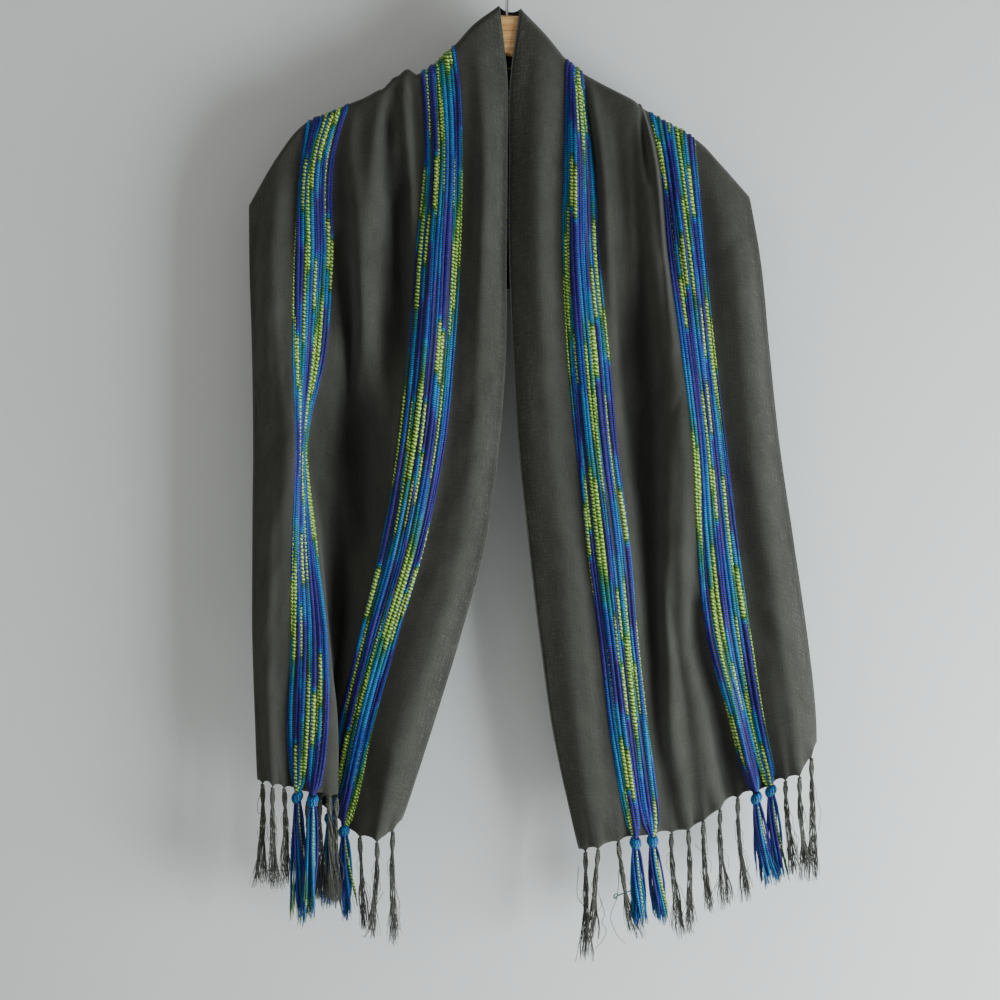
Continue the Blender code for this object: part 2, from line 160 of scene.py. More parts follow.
RIGHT_FRONT = (
    Line(
        0.0, (15, -58), (4, 3, 3, 7, 13, 24, 37, 49), (80, -990),
        (-9, -9, -8, -8, -8, -8, -8, -8, -8, -8),
    ),
    Line(
        1.5, (42, -86), (36, 34, 34, 37, 44, 57, 69, 80), (100, -984),
        (-12, -20, -24, -22, -22, -20, -20, -20, -20, -18),
    ),
    Line(
        3.0, (65, -114), (63, 63, 62, 66, 75, 86, 101, 111), (133, -973),
        (-11, -13, -14, -14, -16, -16, -16, -14, -14, -14),
    ),
    Line(
        4.0, (74, -123), (75, 78, 80, 88, 97, 110, 122, 132), (149, -971),
        (-12, -14, -20, -20, -22, -22, -20, -18, -18, -16),
    ),
    Line(
        5.0, (83, -129), (84, 95, 102, 111, 120, 135, 145, 155), (171, -968),
        (-10, -10, -9, -10, -14, -14, -12, -12, -12, -12),
    ),
    Line(
        6.25, (106, -142), (107, 116, 124, 129, 138, 152, 163, 174), (195, -966),
        (-12, -13, -18, -14, 0, 2, 2, 0, -4, -6),
    ),
    Line(
        7.5, (137, -158), (137, 138, 147, 151, 158, 168, 182, 199), (216, -954),
        (-16, -18, -30, -26, -4, 2, 0, -8, -14, -12),
    ),
    Line(
        8.75, (147, -166), (149, 157, 168, 174, 183, 189, 201, 223), (239, -938),
        (-12, -14, -24, -22, -24, -24, -24, -26, -26, -20),
    ),
    Line(
        10.0, (156, -172), (157, 166, 179, 191, 202, 208, 220, 245), (265, -926),
        (-10, -10, -11, -14, -24, -26, -26, -22, -16, -12),
    ),
    Line(
        11.0, (180, -186), (181, 187, 200, 210, 221, 231, 245, 264), (283, -921),
        (-11, -12, -18, -18, -20, -20, -18, -14, -6, -6),
    ),
    Line(
        12.0, (208, -202), (208, 209, 219, 228, 240, 254, 270, 284), (298, -911),
        (-10, -10, -11, -12, -14, -14, -14, -14, -14, -12),
    ),
    Line(
        13.5, (236, -230), (237, 245, 251, 260, 271, 286, 300, 314), (320, -904),
        (-9, -10, -18, -22, -24, -24, -24, -24, -24, -22),
    ),
    Line(
        15.0, (267, -265), (268, 272, 279, 289, 299, 315, 331, 340), (341, -872),
        (-5, -5, -4, -8, -8, -10, -10, -10, -10, -10),
    ),
)

# Behind the neck each line hangs from crest to crest in a swag: its lowest height and its depth there
Swag = namedtuple("Swag", "cells low depth")
BACK = (
    Swag(0.0, -60, 9),
    Swag(1.5, -92, 13),
    Swag(3.0, -121, 11),
    Swag(4.0, -143, 17),
    Swag(5.0, -162, 12),
    Swag(6.25, -186, 20),
    Swag(7.5, -213, 13),
    Swag(8.75, -238, 21),
    Swag(10.0, -264, 14),
    Swag(11.0, -284, 20),
    Swag(12.0, -304, 15),
    Swag(13.5, -336, 22),
    Swag(15.0, -366, 13),
)

# A crease on one face of the cloth. Its start and end are (cells, height), or on the back (cells, share of the
# way from the left crest to the right one). A negative depth is a trough.
Crease = namedtuple("Crease", "side start end width depth")
CREASES = (
    # The long folds that light and shade the right front
    Crease("right", (4.9, -128), (5.0, -262), 4.5, -7.0),
    Crease("right", (5.45, -128), (5.5, -440), 9.0, 9.0),
    Crease("right", (6.7, -150), (6.7, -430), 11.0, -9.0),
    Crease("right", (7.5, -150), (7.5, -460), 14.0, -18.0),
    Crease("right", (8.3, -150), (8.3, -250), 5.0, -10.0),
    Crease("right", (9.0, -158), (9.05, -330), 8.0, 8.0),
    Crease("right", (9.3, -240), (9.4, -430), 9.0, 6.0),
    # The fold that slants down between the right front's bands, and the valley beyond it
    Crease("right", (8.2, -540), (7.5, -700), 14.0, 13.0),
    Crease("right", (7.7, -660), (6.2, -880), 15.0, 17.0),
    Crease("right", (6.6, -810), (6.3, -985), 15.0, 12.0),
    Crease("right", (10.1, -600), (9.2, -770), 20.0, -12.0),
    Crease("right", (9.5, -720), (9.2, -900), 21.0, -23.0),
    Crease("right", (9.3, -850), (9.1, -960), 19.0, -17.0),
    Crease("right", (8.7, -730), (8.7, -930), 11.0, -7.0),
    Crease("right", (10.3, -720), (10.5, -930), 9.0, 8.0),
    # Those of the left front: the roll at its crest, the valley beside it and the ones that cross below
    Crease("left", (6.35, -126), (5.9, -240), 8.5, 12.0),
    Crease("left", (5.9, -220), (5.2, -320), 7.0, 7.0),
    Crease("left", (7.25, -128), (7.0, -260), 8.0, -12.0),
    Crease("left", (6.9, -230), (5.8, -360), 9.0, -11.0),
    Crease("left", (5.9, -340), (5.1, -450), 9.0, -8.0),
    Crease("left", (9.5, -170), (7.9, -340), 14.0, 9.0),
    Crease("left", (7.9, -340), (5.8, -530), 14.0, 11.0),
    Crease("left", (9.6, -320), (6.0, -640), 15.0, -15.0),
    Crease("left", (1.6, -120), (1.7, -420), 12.0, 4.0),
    # Press marks and small wrinkles
    Crease("right", (0.2, -228), (2.9, -231), 3.5, -1.7),
    Crease("right", (0.3, -221), (2.7, -225), 3.0, 0.9),
    Crease("right", (7.9, -486), (8.65, -513), 4.0, -1.6),
    Crease("right", (9.5, -484), (8.65, -513), 4.0, -1.4),
    Crease("right", (12.8, -800), (14.6, -838), 8.0, -1.6),
    Crease("right", (12.4, -705), (14.2, -760), 9.0, 1.4),
    Crease("right", (0.6, -650), (2.6, -690), 8.0, -1.2),
    Crease("right", (12.5, -330), (14.5, -300), 8.0, -1.2),
    Crease("left", (2.8, -488), (1.7, -506), 3.5, -1.7),
    Crease("left", (2.7, -524), (1.8, -537), 3.5, -1.4),
    Crease("left", (3.1, -868), (2.2, -932), 7.0, -3.0),
    Crease("left", (2.4, -858), (1.2, -900), 8.0, 1.6),
    Crease("left", (12.6, -520), (14.3, -560), 9.0, -1.4),
    Crease("left", (6.0, -300), (8.2, -350), 9.0, -1.5),
    Crease("left", (12.7, -720), (14.6, -690), 8.0, 1.3),
    Crease("back", (9.0, 0.42), (14.0, 0.5), 7.0, -2.0),
    Crease("back", (4.0, 0.55), (9.5, 0.62), 7.0, 1.8),
    Crease("back", (11.0, 0.3), (14.5, 0.24), 6.0, -1.6),
    Crease("back", (10.5, 0.72), (14.5, 0.8), 6.0, 1.6),
)

# A crease keeps this share of its depth at its two ends
CREASE_END = 0.35

# A trough starts so far below the crest, where it is clear of the arm, and is whole after its ease. A ridge
# starts at the crest itself.
TROUGH_START = 6
TROUGH_EASE = 48
RIDGE_EASE = 26

# The back's creases are as wide as if it were so long from crest to crest, and its ripples as long. Its
# ripples are lower, and both fade over this share of it at the two crests.
BACK_CREASE_SPAN = 900
BACK_RIPPLE_SPAN = 400
BACK_RIPPLE_SHARE = 0.7
BACK_FADE = 0.2
BACK_SEED = 7

# Where a fold rolls over the arm it stands above the crest, and less so further down
Hump = namedtuple("Hump", "side cells width height")
HUMPS = (
    Hump("left", 6.1, 11.0, 4.5), Hump("left", 6.95, 5.0, 3.0), Hump("left", 7.6, 5.0, -2.0),
    Hump("left", 5.3, 4.0, -1.5), Hump("right", 8.75, 6.0, 3.0),
)
HUMP_REACH = 14

# Long soft ripples, by the length of their waves across the cloth and along it
Ripple = namedtuple("Ripple", "across along height")
RIPPLES = (
    Ripple(23, 610, 0.28), Ripple(31, -840, 0.38), Ripple(17, 430, 0.15), Ripple(44, 520, 0.6),
    Ripple(64, -310, 0.6), Ripple(90, 120, 0.3), Ripple(-52, 75, 0.22), Ripple(130, 58, 0.2),
)

# The hem: how far it scallops up between two tassels (from, to), how far it gathers into them in cells, its
# small pleats, how steeply a scallop leaves its tassel, and how far up the cloth each of them fades
SCALLOPS = (1.5, 5.0)
SCALLOP_FLANK = 3.4
SCALLOP_REACH = 9
GATHER = 0.45
GATHER_REACH = 11
PLEAT = 1.6
PLEAT_REACH = 20

# The folds stand out from this depth by this much more than on the plain solids, from so far below the crest
FOLD_DEPTH = -13.0
FOLD_GAIN = 1.2
FOLD_START = 40
FOLD_EASE = 160

# A trough this much deeper than the cloth beside it takes the full painted shade, which darkens the cloth's
# colour in the troughs of its folds
PAINTED_SHADE_DEPTH = 9.0

# What mottles the cloth: how long the streaks of its warp and weft threads are, its clouds and its fibres
WARP_STREAK = 22
WEFT_STREAK = 14
CLOUD = 38
FIBRE = 1.5

# The dye of a band's yarn: colour, its place on the dye ramp, and the length of the run in mm
Run = namedtuple("Run", "colour place length")
DYE = (
    Run("indigo", 0.03, 96), Run("violet", 0.13, 34), Run("blue", 0.28, 66), Run("sea blue", 0.42, 62),
    Run("teal", 0.55, 26), Run("lime", 0.86, 104), Run("green", 0.70, 18), Run("teal", 0.56, 30),
    Run("blue", 0.27, 48), Run("indigo", 0.0, 58), Run("sea blue", 0.40, 40), Run("lime", 0.90, 60),
)
DYE_BLEND = 9.0
PHASE_DRIFT = 42.0
JUMP_SHARE = 0.55
# These spread each band's lime runs evenly along it
BAND_SEEDS = {"inner": 640, "outer": 653}

# How a bead of bouclé grows with the paleness of its dye: pitch (mm) and swell, dark and pale
BEAD_PITCH = (2.4, 3.9)
BEAD_SWELL = (0.04, 0.24)

# The dye of the turns of a knot
KNOT_DYE = (0.36, 0.44, 0.33, 0.52, 0.30)

# Tassels: how far each leans from its knot to its end, counted outwards from the neck selvedge
LEANS = {
    "left": (0, -5, 6, 3, -4, -2, 5, 3, -3, 4, -5, 3, 3, 1, -2),
    "right": (1, -8, 16, 4, 9, 9, 3, 5, 4, 7, 12, 8, 8, 6, 3),
}

# Loose threads that cross from tassel to tassel, each through its points at x, depth and height
Thread = namedtuple("Thread", "side dyed x depth height")
THREADS = (
    Thread(
        "left", False, (-268, -273, -273, -270, -268), (-18, -20, -20, -20, -17),
        (-917, -931, -943, -945, -957),
    ),
    Thread(
        "left", False, (-162, -158, -151, -148, -156), (-14, -19, -20, -20, -18),
        (-993, -1013, -1037, -1059, -1079),
    ),
    Thread(
        "left", False, (-136, -144, -148, -155, -159), (-14, -19, -20, -20, -16),
        (-1031, -1047, -1064, -1079, -1079),
    ),
    Thread(
        "right", True, (143, 134, 125, 120, 118), (-14, -18, -19, -17, -13),
        (-1026, -1030, -1033, -1036, -1038),
    ),
    Thread(
        "right", True, (122, 119, 117, 119, 121), (-14, -18, -17, -15, -16),
        (-1034, -1033, -1036, -1039, -1036),
    ),
    Thread("right", False, (79, 77, 78, 82), (-9, -12, -12, -9), (-1004, -1028, -1038, -1045)),
    Thread(
        "right", False, (102, 107, 104, 109, 105, 97), (-12, -16, -17, -17, -16, -14),
        (-1038, -1055, -1064, -1073, -1084, -1094),
    ),
    Thread(
        "right", False, (123, 121, 115, 114, 121, 130), (-14, -18, -19, -19, -18, -16),
        (-1007, -1035, -1051, -1062, -1078, -1088),
    ),
    Thread(
        "right", False, (207, 214, 218, 221, 220, 219), (-9, -14, -15, -15, -14, -9),
        (-980, -987, -990, -988, -982, -967),
    ),
)
THREAD_POINTS = 40
PLAIN_THREAD_RADIUS = 0.34
DYED_THREAD = {"radius": 0.7, "phase": 250, "step": 1.4}

# A plain tassel has two plies of two-ply cords, and a dyed one has thick yarns and thin ones
PLIES = 2
CORDS_PER_PLY = 4
CORD_RADIUS = 0.8
CORD_PITCH = 2.6
PLY_RADIUS = 1.15
THICK_YARNS = 17
THIN_YARNS = 9
GOLDEN_TURN = 2 * math.pi * 0.382

# A knot: its radius, and its turns of cord, by how squat and how tilted they are and how far each goes round
KNOT_PLAIN = 2.6
KNOT_DYED = 6.9
KNOT_SQUAT = 0.72
KNOT_TILT = 0.26
KNOT_TURN = 2.06 * math.pi
KNOT_STEP = 0.9

# Most of a dyed tassel's yarns start in the runs of blue, and every seventh where its lime run starts
BLUE_RUNS = 190
LIME_START = 284
DYED_STEP = 2.3

# The threads that fray from each cord or yarn, and the stray ones of a whole tassel
PLAIN_FRAYS = {"count": 6, "radius": 0.32, "spread": 2.9}
DYED_FRAYS = {"count": 3, "radius": 0.36, "spread": 1.6}
STRAY_RADIUS = 0.26
STRAY_REACH = 7

# The yarns of a band: how uneven their widths are, how far a yarn wanders in cells, how far its neighbours
# press into it, and how far a jump takes it along the dye
YARN_WIDTHS = (0.62, 1.5)
YARN_WANDER = 0.035
YARN_RADIUS = 0.58
YARN_JUMP = 190.0

# The wall behind the scarf, and the floor, so far below it that it blocks none of the light, with a cove
# between them. The view's middle and width, and where the cloth's front lies, are in metres.
WALL_DEPTH = 62.0
WALL_TOP = 900.0
WALL_REACH = 2600
FLOOR_DROP = 900
FLOOR_REACH = -3200.0
COVE = 80.0
VIEW_MIDDLE = Vector((-0.0077, 0, -0.6007))
VIEW_WIDTH = 1.1
CLOTH_FRONT = -0.012
WORLD_STRENGTH = 0.42


def linear(code):
    """An sRGB hex colour as the linear values that Blender's sockets take."""
    parts = [int(code[i : i + 2], 16) / 255 for i in (0, 2, 4)]
    return tuple(c / 12.92 if c <= 0.04045 else ((c + 0.055) / 1.055) ** 2.4 for c in parts)


def colour_property(name, description, code):
    """A colour that a user can change, from its hex code."""
    return FloatVectorProperty(
        name=name, description=description, subtype="COLOR", size=3, min=0, max=1, default=linear(code)
    )


def length_property(name, description, metres):
    """A length that a user can change."""
    return FloatProperty(name=name, description=description, default=metres, unit="LENGTH", precision=4)


class ClothSettings(bpy.types.PropertyGroup):
    """The charcoal ground cloth."""

    thickness: length_property("Thickness", "Of the woven cloth", 0.0009)
    selvedge: length_property("Selvedge", "Radius of the rolled edge", 0.0008)
    thread_spacing: length_property("Thread Spacing", "Between two threads of the weave", 0.0012)
    warp: colour_property("Warp", "Lengthwise threads", "44443D")
    weft: colour_property("Weft", "Crosswise threads", "2C2B25")
    gap: colour_property("Gap", "Between the threads of the loose selvedges", "85877F")


class BandSettings(bpy.types.PropertyGroup):
    """The space-dyed yarns of the two bands."""

    yarns: IntProperty(name="Yarns", description="In one band", default=14, min=6, max=20)
    step: length_property("Step", "Between two rings of a yarn", 0.0017)
    indigo: colour_property("Indigo", "Darkest run of the dye", "191379")
    violet: colour_property("Violet", "Violet run of the dye", "3A2795")
    blue: colour_property("Blue", "Blue run of the dye", "0A4AA6")
    sea: colour_property("Sea Blue", "Bright blue run of the dye", "0A7CBC")
    teal: colour_property("Teal", "Teal run of the dye", "0B7474")
    green: colour_property("Green", "Green run of the dye", "246A24")
    lime: colour_property("Lime", "Lime run of the dye", "7DB42A")
    # Pale lime is the top of the dye ramp and also the painted highlight on the crests of the lime run
    pale: colour_property("Pale Lime", "Crests of the lime run", "D3EE84")


class FringeSettings(bpy.types.PropertyGroup):
    """The knotted fringe."""

    fray: length_property("Fray", "How far the ends of a tassel spread", 0.0065)
    strays: IntProperty(name="Stray Threads", description="From each tassel", default=3, min=0, max=8)
    # Light and dark cord colours: each strand takes its own tone between them, and along the ply's twist they
    # give a painted highlight on the crests and painted shade in the grooves
    light: colour_property("Light Cord", "Lit fibres of the grey cords", "6B6B62")
    dark: colour_property("Dark Cord", "Deep fibres of the grey cords", "23221D")


class HangerSettings(bpy.types.PropertyGroup):
    """The clothes hanger."""

    wood: colour_property("Wood", "Early wood under its varnish", "EDBC7C")
    grain: colour_property("Grain", "Late wood and pores", "A8743E")
    wire: colour_property("Wire", "The hook", "B9BBBE")


class StageSettings(bpy.types.PropertyGroup):
    """The wall, the floor and the light."""

    wall: colour_property("Wall", "Pale wall and floor", "E3E4E2")
    key: FloatProperty(name="Key Light", description="Soft light from the right", default=92.0, unit="POWER")
    fill: FloatProperty(name="Fill Light", description="Soft light from the left", default=5.0, unit="POWER")
    distance: length_property("Camera Distance", "From the front of the cloth", 2.3)


class ScarfSettings(bpy.types.PropertyGroup):
    """Everything that a user would change."""

    cloth: PointerProperty(type=ClothSettings)
    bands: PointerProperty(type=BandSettings)
    fringe: PointerProperty(type=FringeSettings)
    hanger: PointerProperty(type=HangerSettings)
    stage: PointerProperty(type=StageSettings)


def smooth(at, knots, values):
    """A cubic curve through the values, each of which may be a number or a point."""
    knots = np.asarray(knots, float)
    values = np.asarray(values, float)
    slopes = np.gradient(values, knots, axis=0)
    first = np.clip(np.searchsorted(knots, at, side="right") - 1, 0, len(knots) - 2)
    width = knots[first + 1] - knots[first]
    t = (np.asarray(at, float) - knots[first]) / width
    if values.ndim > 1:
        width, t = width[:, None], t[:, None]
    start = (1 + 2 * t) * (1 - t) ** 2 * values[first] + t * (1 - t) ** 2 * width * slopes[first]
    end = t**2 * (3 - 2 * t) * values[first + 1] + t**2 * (t - 1) * width * slopes[first + 1]
    return start + end


def ease(t):
    """A soft step from 0 to 1."""
    t = np.clip(t, 0, 1)
    return t * t * (3 - 2 * t)


def columns():
    """Where the columns of faces meet, in cells from the neck selvedge."""
    return np.linspace(0, CELLS, CELLS * COLUMNS_PER_CELL + 1)


def crest_steps():
    """(drop, share of the depth) of the rows that turn over the arm, from the crest."""
    turned = np.linspace(0, 0.5 * math.pi, CREST_STEPS + 1)
    return CREST_RADIUS * (1 - np.cos(turned)), np.sin(turned)


def front_line(line):
    """The points of one lengthwise line, from its crest to its hem."""
    top, bottom = line.crest[1], line.hem[1]
    used = [i for i, level in enumerate(LEVELS) if level < top - FIRST_DROP]
    heights = [top] + [LEVELS[i] for i in used] + [bottom]
    x = [line.crest[0]] + [line.x[i] for i in used] + [line.hem[0]]
    depth = [line.depth[0]] + [line.depth[i + 1] for i in used] + [line.depth[-1]]
    drops, shares = crest_steps()
    z = np.concatenate([top - drops, np.linspace(top - drops[-1], bottom, FRONT_ROWS + 1)[1:]])
    knots = -np.array(heights, float)
    share = np.concatenate([shares, np.ones(FRONT_ROWS)])
    return np.column_stack([smooth(-z, knots, x), smooth(-z, knots, depth) * share, z])


def creases_of(side, across, height):
    """How far the creases of one side lift the cloth at each point."""
    lift = np.zeros_like(height)
    for crease in (c for c in CREASES if c.side == side):
        scale = np.array([CELL, BACK_CREASE_SPAN if side == "back" else 1])
        start = crease.start * scale
        run = crease.end * scale - start
        t = ((across - start[0]) * run[0] + (height - start[1]) * run[1]) / (run @ run)
        near = np.clip(t, 0, 1)
        away = np.hypot(across - start[0] - near * run[0], height - start[1] - near * run[1])
        share = CREASE_END + (1 - CREASE_END) * np.sin(math.pi * near)
        lift += crease.depth * np.exp(-((away / crease.width) ** 2)) * share
    return lift


def ripples_of(across, along, seed):
    """How far the soft ripples lift the cloth at each point, each swelling and fading along its length."""
    varied = np.random.default_rng(seed)
    lift = np.zeros_like(along)
    for ripple in RIPPLES:
        turn = varied.uniform(0, 2 * math.pi)
        swell = 0.6 + 0.4 * np.sin(along / varied.uniform(90, 160) + varied.uniform(0, 6))
        wave = 2 * math.pi * (across / ripple.across + along / ripple.along) + turn
        lift += ripple.height * swell * np.sin(wave)
    return lift


def humps_of(side):
    """How far each column of the cloth stands above the crest line of one side."""
    across = columns() * CELL
    humps = [hump for hump in HUMPS if hump.side == side]
    return sum(hump.height * np.exp(-(((across - hump.cells * CELL) / hump.width) ** 2)) for hump in humps)


def front_sheet(lines, side):
    """Rows of points from the crest over the arm down to the gathered hem."""
    runs = np.array([front_line(line) for line in lines])
    cells = [line.cells for line in lines]
    scallops = np.random.default_rng(len(side)).uniform(*SCALLOPS, CELLS + 1)
    sheet = []
    for row in range(runs.shape[1]):
        above_hem = (runs.shape[1] - 1 - row) * ROW_SPACING
        drawn = GATHER / (2 * math.pi) * np.sin(2 * math.pi * columns()) * math.exp(-above_hem / GATHER_REACH)
        points = smooth(columns() + drawn, cells, runs[:, row])
        between = ease(np.abs(columns() % 1 - 0.5) * SCALLOP_FLANK)
        scallop = np.interp(columns(), np.arange(CELLS + 1), scallops)
        points[:, 2] += scallop * between * math.exp(-above_hem / SCALLOP_REACH)
        pleat = np.cos(2 * math.pi * columns()) + 0.5 * np.cos(4 * math.pi * columns() + 0.8)
        points[:, 1] += PLEAT * pleat * math.exp(-above_hem / PLEAT_REACH)
        sheet.append(points)
    sheet = np.array(sheet)
    across = np.broadcast_to(columns() * CELL, sheet.shape[:2])
    below = sheet[0, None, :, 2] - sheet[..., 2]
    creases = creases_of(side, across, sheet[..., 2])
    lift = ripples_of(across, below, len(side)) + np.minimum(creases, 0)
    lift += (FOLD_DEPTH - sheet[..., 1]) * (FOLD_GAIN - 1) * ease((below - FOLD_START) / FOLD_EASE)
    sheet[..., 1] -= lift * ease((below - TROUGH_START) / TROUGH_EASE)
    sheet[..., 1] -= np.maximum(creases, 0) * ease(below / RIDGE_EASE)
    sheet[..., 2] += humps_of(side) * np.exp(-below / HUMP_REACH)
    return sheet


def swag_line(left, right, swag):
    """The points of one line behind the neck, from its left crest to its right one."""
    start, end = np.array(left.crest, float), np.array(right.crest, float)
    sag = 0.5 * (start[1] + end[1]) - swag.low
    span = np.linalg.norm(end - start)
    drops, shares = crest_steps()
    near = drops / (span + 8 * sag**2 / (3 * span))
    middle = np.linspace(near[-1], 1 - near[-1], BACK_ROWS + 1)[1:-1]
    s = np.concatenate([near, middle, 1 - near[::-1]])
    turn = np.concatenate([shares, np.ones(BACK_ROWS - 1), shares[::-1]])
    x = start[0] + (end[0] - start[0]) * s
    z = start[1] + (end[1] - start[1]) * s - 4 * sag * s * (1 - s)
    y = turn * (CREST_RADIUS + (swag.depth - CREST_RADIUS) * np.sin(math.pi * s))
    return np.column_stack([x, y, z])


def back_sheet():
    """Rows of points from the left crest, behind the neck, to the right crest."""
    runs = np.array([swag_line(*lines) for lines in zip(LEFT_FRONT, RIGHT_FRONT, BACK)])
    cells = [swag.cells for swag in BACK]
    sheet = np.array([smooth(columns(), cells, runs[:, row]) for row in range(runs.shape[1])])
    across = np.broadcast_to(columns() * CELL, sheet.shape[:2])
    share = np.broadcast_to(np.linspace(0, 1, len(sheet))[:, None], sheet.shape[:2])
    lift = creases_of("back", across, share * BACK_CREASE_SPAN)
    lift += BACK_RIPPLE_SHARE * ripples_of(across, share * BACK_RIPPLE_SPAN, BACK_SEED)
    sheet[..., 1] += lift * ease(share / BACK_FADE) * ease((1 - share) / BACK_FADE)
    for side, end in (("left", sheet[0]), ("right", sheet[-1])):
        away = np.linalg.norm(sheet - end, axis=2)
        sheet[..., 2] += humps_of(side) * np.exp(-away / HUMP_REACH)
    return sheet


def whole_sheet():
    """(points, along): the whole cloth from its left hem to its right one, and each point's place along it."""
    left, right = front_sheet(LEFT_FRONT, "left"), front_sheet(RIGHT_FRONT, "right")
    sheet = np.concatenate([left[::-1], back_sheet()[1:-1], right])
    steps = np.linalg.norm(np.diff(sheet, axis=0), axis=2)
    along = np.concatenate([np.zeros((1, sheet.shape[1])), np.cumsum(steps, axis=0)])
    return sheet, along - along[len(along) // 2]


def line_of(sheet, cells):
    """The sheet's line at so many cells from the neck selvedge, which may vary from row to row."""
    at = np.clip(np.broadcast_to(cells, len(sheet)) * COLUMNS_PER_CELL, 0, sheet.shape[1] - 1.001)
    first = at.astype(int)
    part = (at - first)[:, None]
    rows = np.arange(len(sheet))
    return sheet[rows, first] * (1 - part) + sheet[rows, first + 1] * part


def distances(points):
    """Each point's distance along the path from its start."""
    return np.concatenate([[0], np.cumsum(np.linalg.norm(np.diff(points, axis=0), axis=1))])


def resampled(points, step):
    """The path at even steps, and each point's distance along it."""
    far = distances(points)
    at = np.linspace(0, far[-1], max(3, round(far[-1] / step) + 1))
    return np.column_stack([np.interp(at, far, points[:, k]) for k in range(3)]), at


def dye_at(along):
    """The dye's place on its ramp along a yarn, in soft steps from run to run."""
    ends = np.cumsum([run.length for run in DYE])
    at = np.mod(along, ends[-1])
    place = np.full(len(at), DYE[0].place)
    for run, after, end in zip(DYE, DYE[1:] + DYE[:1], ends):
        place += (after.place - run.place) * ease((at - end + 2 * DYE_BLEND) / (2 * DYE_BLEND))
    return place


class Strands:
    """Paths that become one piece of tubes, with what each point is like."""

    def __init__(self, seed):
        self.varied = np.random.default_rng(seed)
        self.points, self.edges = [], []
        self.values = {name: [] for name in ("thick", "bead", "dye", "turn", "strand")}
        self.count = 0

    def add(self, points, thick, turn=None, dye=0.0, bead=0.0):
        """A path with its radius in mm, how far its twist has turned, its dye and its beads."""
        n = len(points)
        if turn is None:
            turn = 2 * math.pi * distances(points) / CORD_PITCH
        given = {"thick": thick, "bead": bead, "dye": dye, "turn": turn}
        for name, value in given.items():
            self.values[name].append(np.broadcast_to(value, n))
        self.values["strand"].append(np.full(n, self.varied.uniform(0, 100)))
        first = self.count
        self.points.append(points)
        self.edges.append(np.column_stack([np.arange(first, first + n - 1), np.arange(first + 1, first + n)]))
        self.count += n

    def add_yarn(self, points, radius, phase, step, way=1, loft=1.0, taper=(0.6, 8.0)):
        """A dyed bouclé yarn, whose beads swell more where its dye is pale. It thins at its last end."""
        points, at = resampled(points, step)
        dye = dye_at(way * at + phase)
        pale = ease((dye - 0.5) / 0.4)
        pitch = BEAD_PITCH[0] + (BEAD_PITCH[1] - BEAD_PITCH[0]) * pale
        turn = np.cumsum(2 * math.pi * step / pitch * self.varied.uniform(0.8, 1.2, len(at)))
        swell = loft * (BEAD_SWELL[0] + (BEAD_SWELL[1] - BEAD_SWELL[0]) * pale)
        slow = np.sin(at / self.varied.uniform(30, 60)) * ease(at / 30)
        points = points.copy()
        points[:, 0] += 0.3 * loft * pale * np.sin(0.5 * turn)
        ends = np.minimum(1, taper[0] + (at[-1] - at) / taper[1] * (1 - taper[0]))
        self.add(points, radius * (1 + 0.12 * slow) * ends, turn, dye, swell * np.sin(turn))


def add_node(tree, kind, inputs=None, **settings):
    """The outputs of a node that has these settings, and whose sockets hold or are fed by these inputs."""
    made = tree.nodes.new(kind)
    for name, value in settings.items():
        if name == "stops":
            while len(made.color_ramp.elements) < len(value):
                made.color_ramp.elements.new(1.0)
            for element, (place, colour) in zip(made.color_ramp.elements, value):
                element.position = place
                element.color = (*colour, 1.0)
        else:
            setattr(made, name, value)
    for socket, value in (inputs or {}).items():
        if isinstance(value, bpy.types.NodeSocket):
            tree.links.new(value, made.inputs[socket])
        else:
            made.inputs[socket].default_value = value
    return made.outputs


def new_material(name, shader_settings):
    """(material, its tree) with the constants set on the shader's own sockets."""
    made = bpy.data.materials.new(name)
    made.use_nodes = True
    for socket, value in shader_settings.items():
        made.node_tree.nodes["Principled BSDF"].inputs[socket].default_value = value
    return made, made.node_tree


def finished(material, height, strength, distance, colour=None):
    """The material, its shader fed its relief, which stands out by this distance (m), and its colour."""
    tree = material.node_tree
    shader = tree.nodes["Principled BSDF"].inputs
    relief = {"Height": height, "Strength": strength, "Distance": distance}
    tree.links.new(add_node(tree, "ShaderNodeBump", relief)["Normal"], shader["Normal"])
    if colour is not None:
        tree.links.new(colour, shader["Base Color"])
    return material


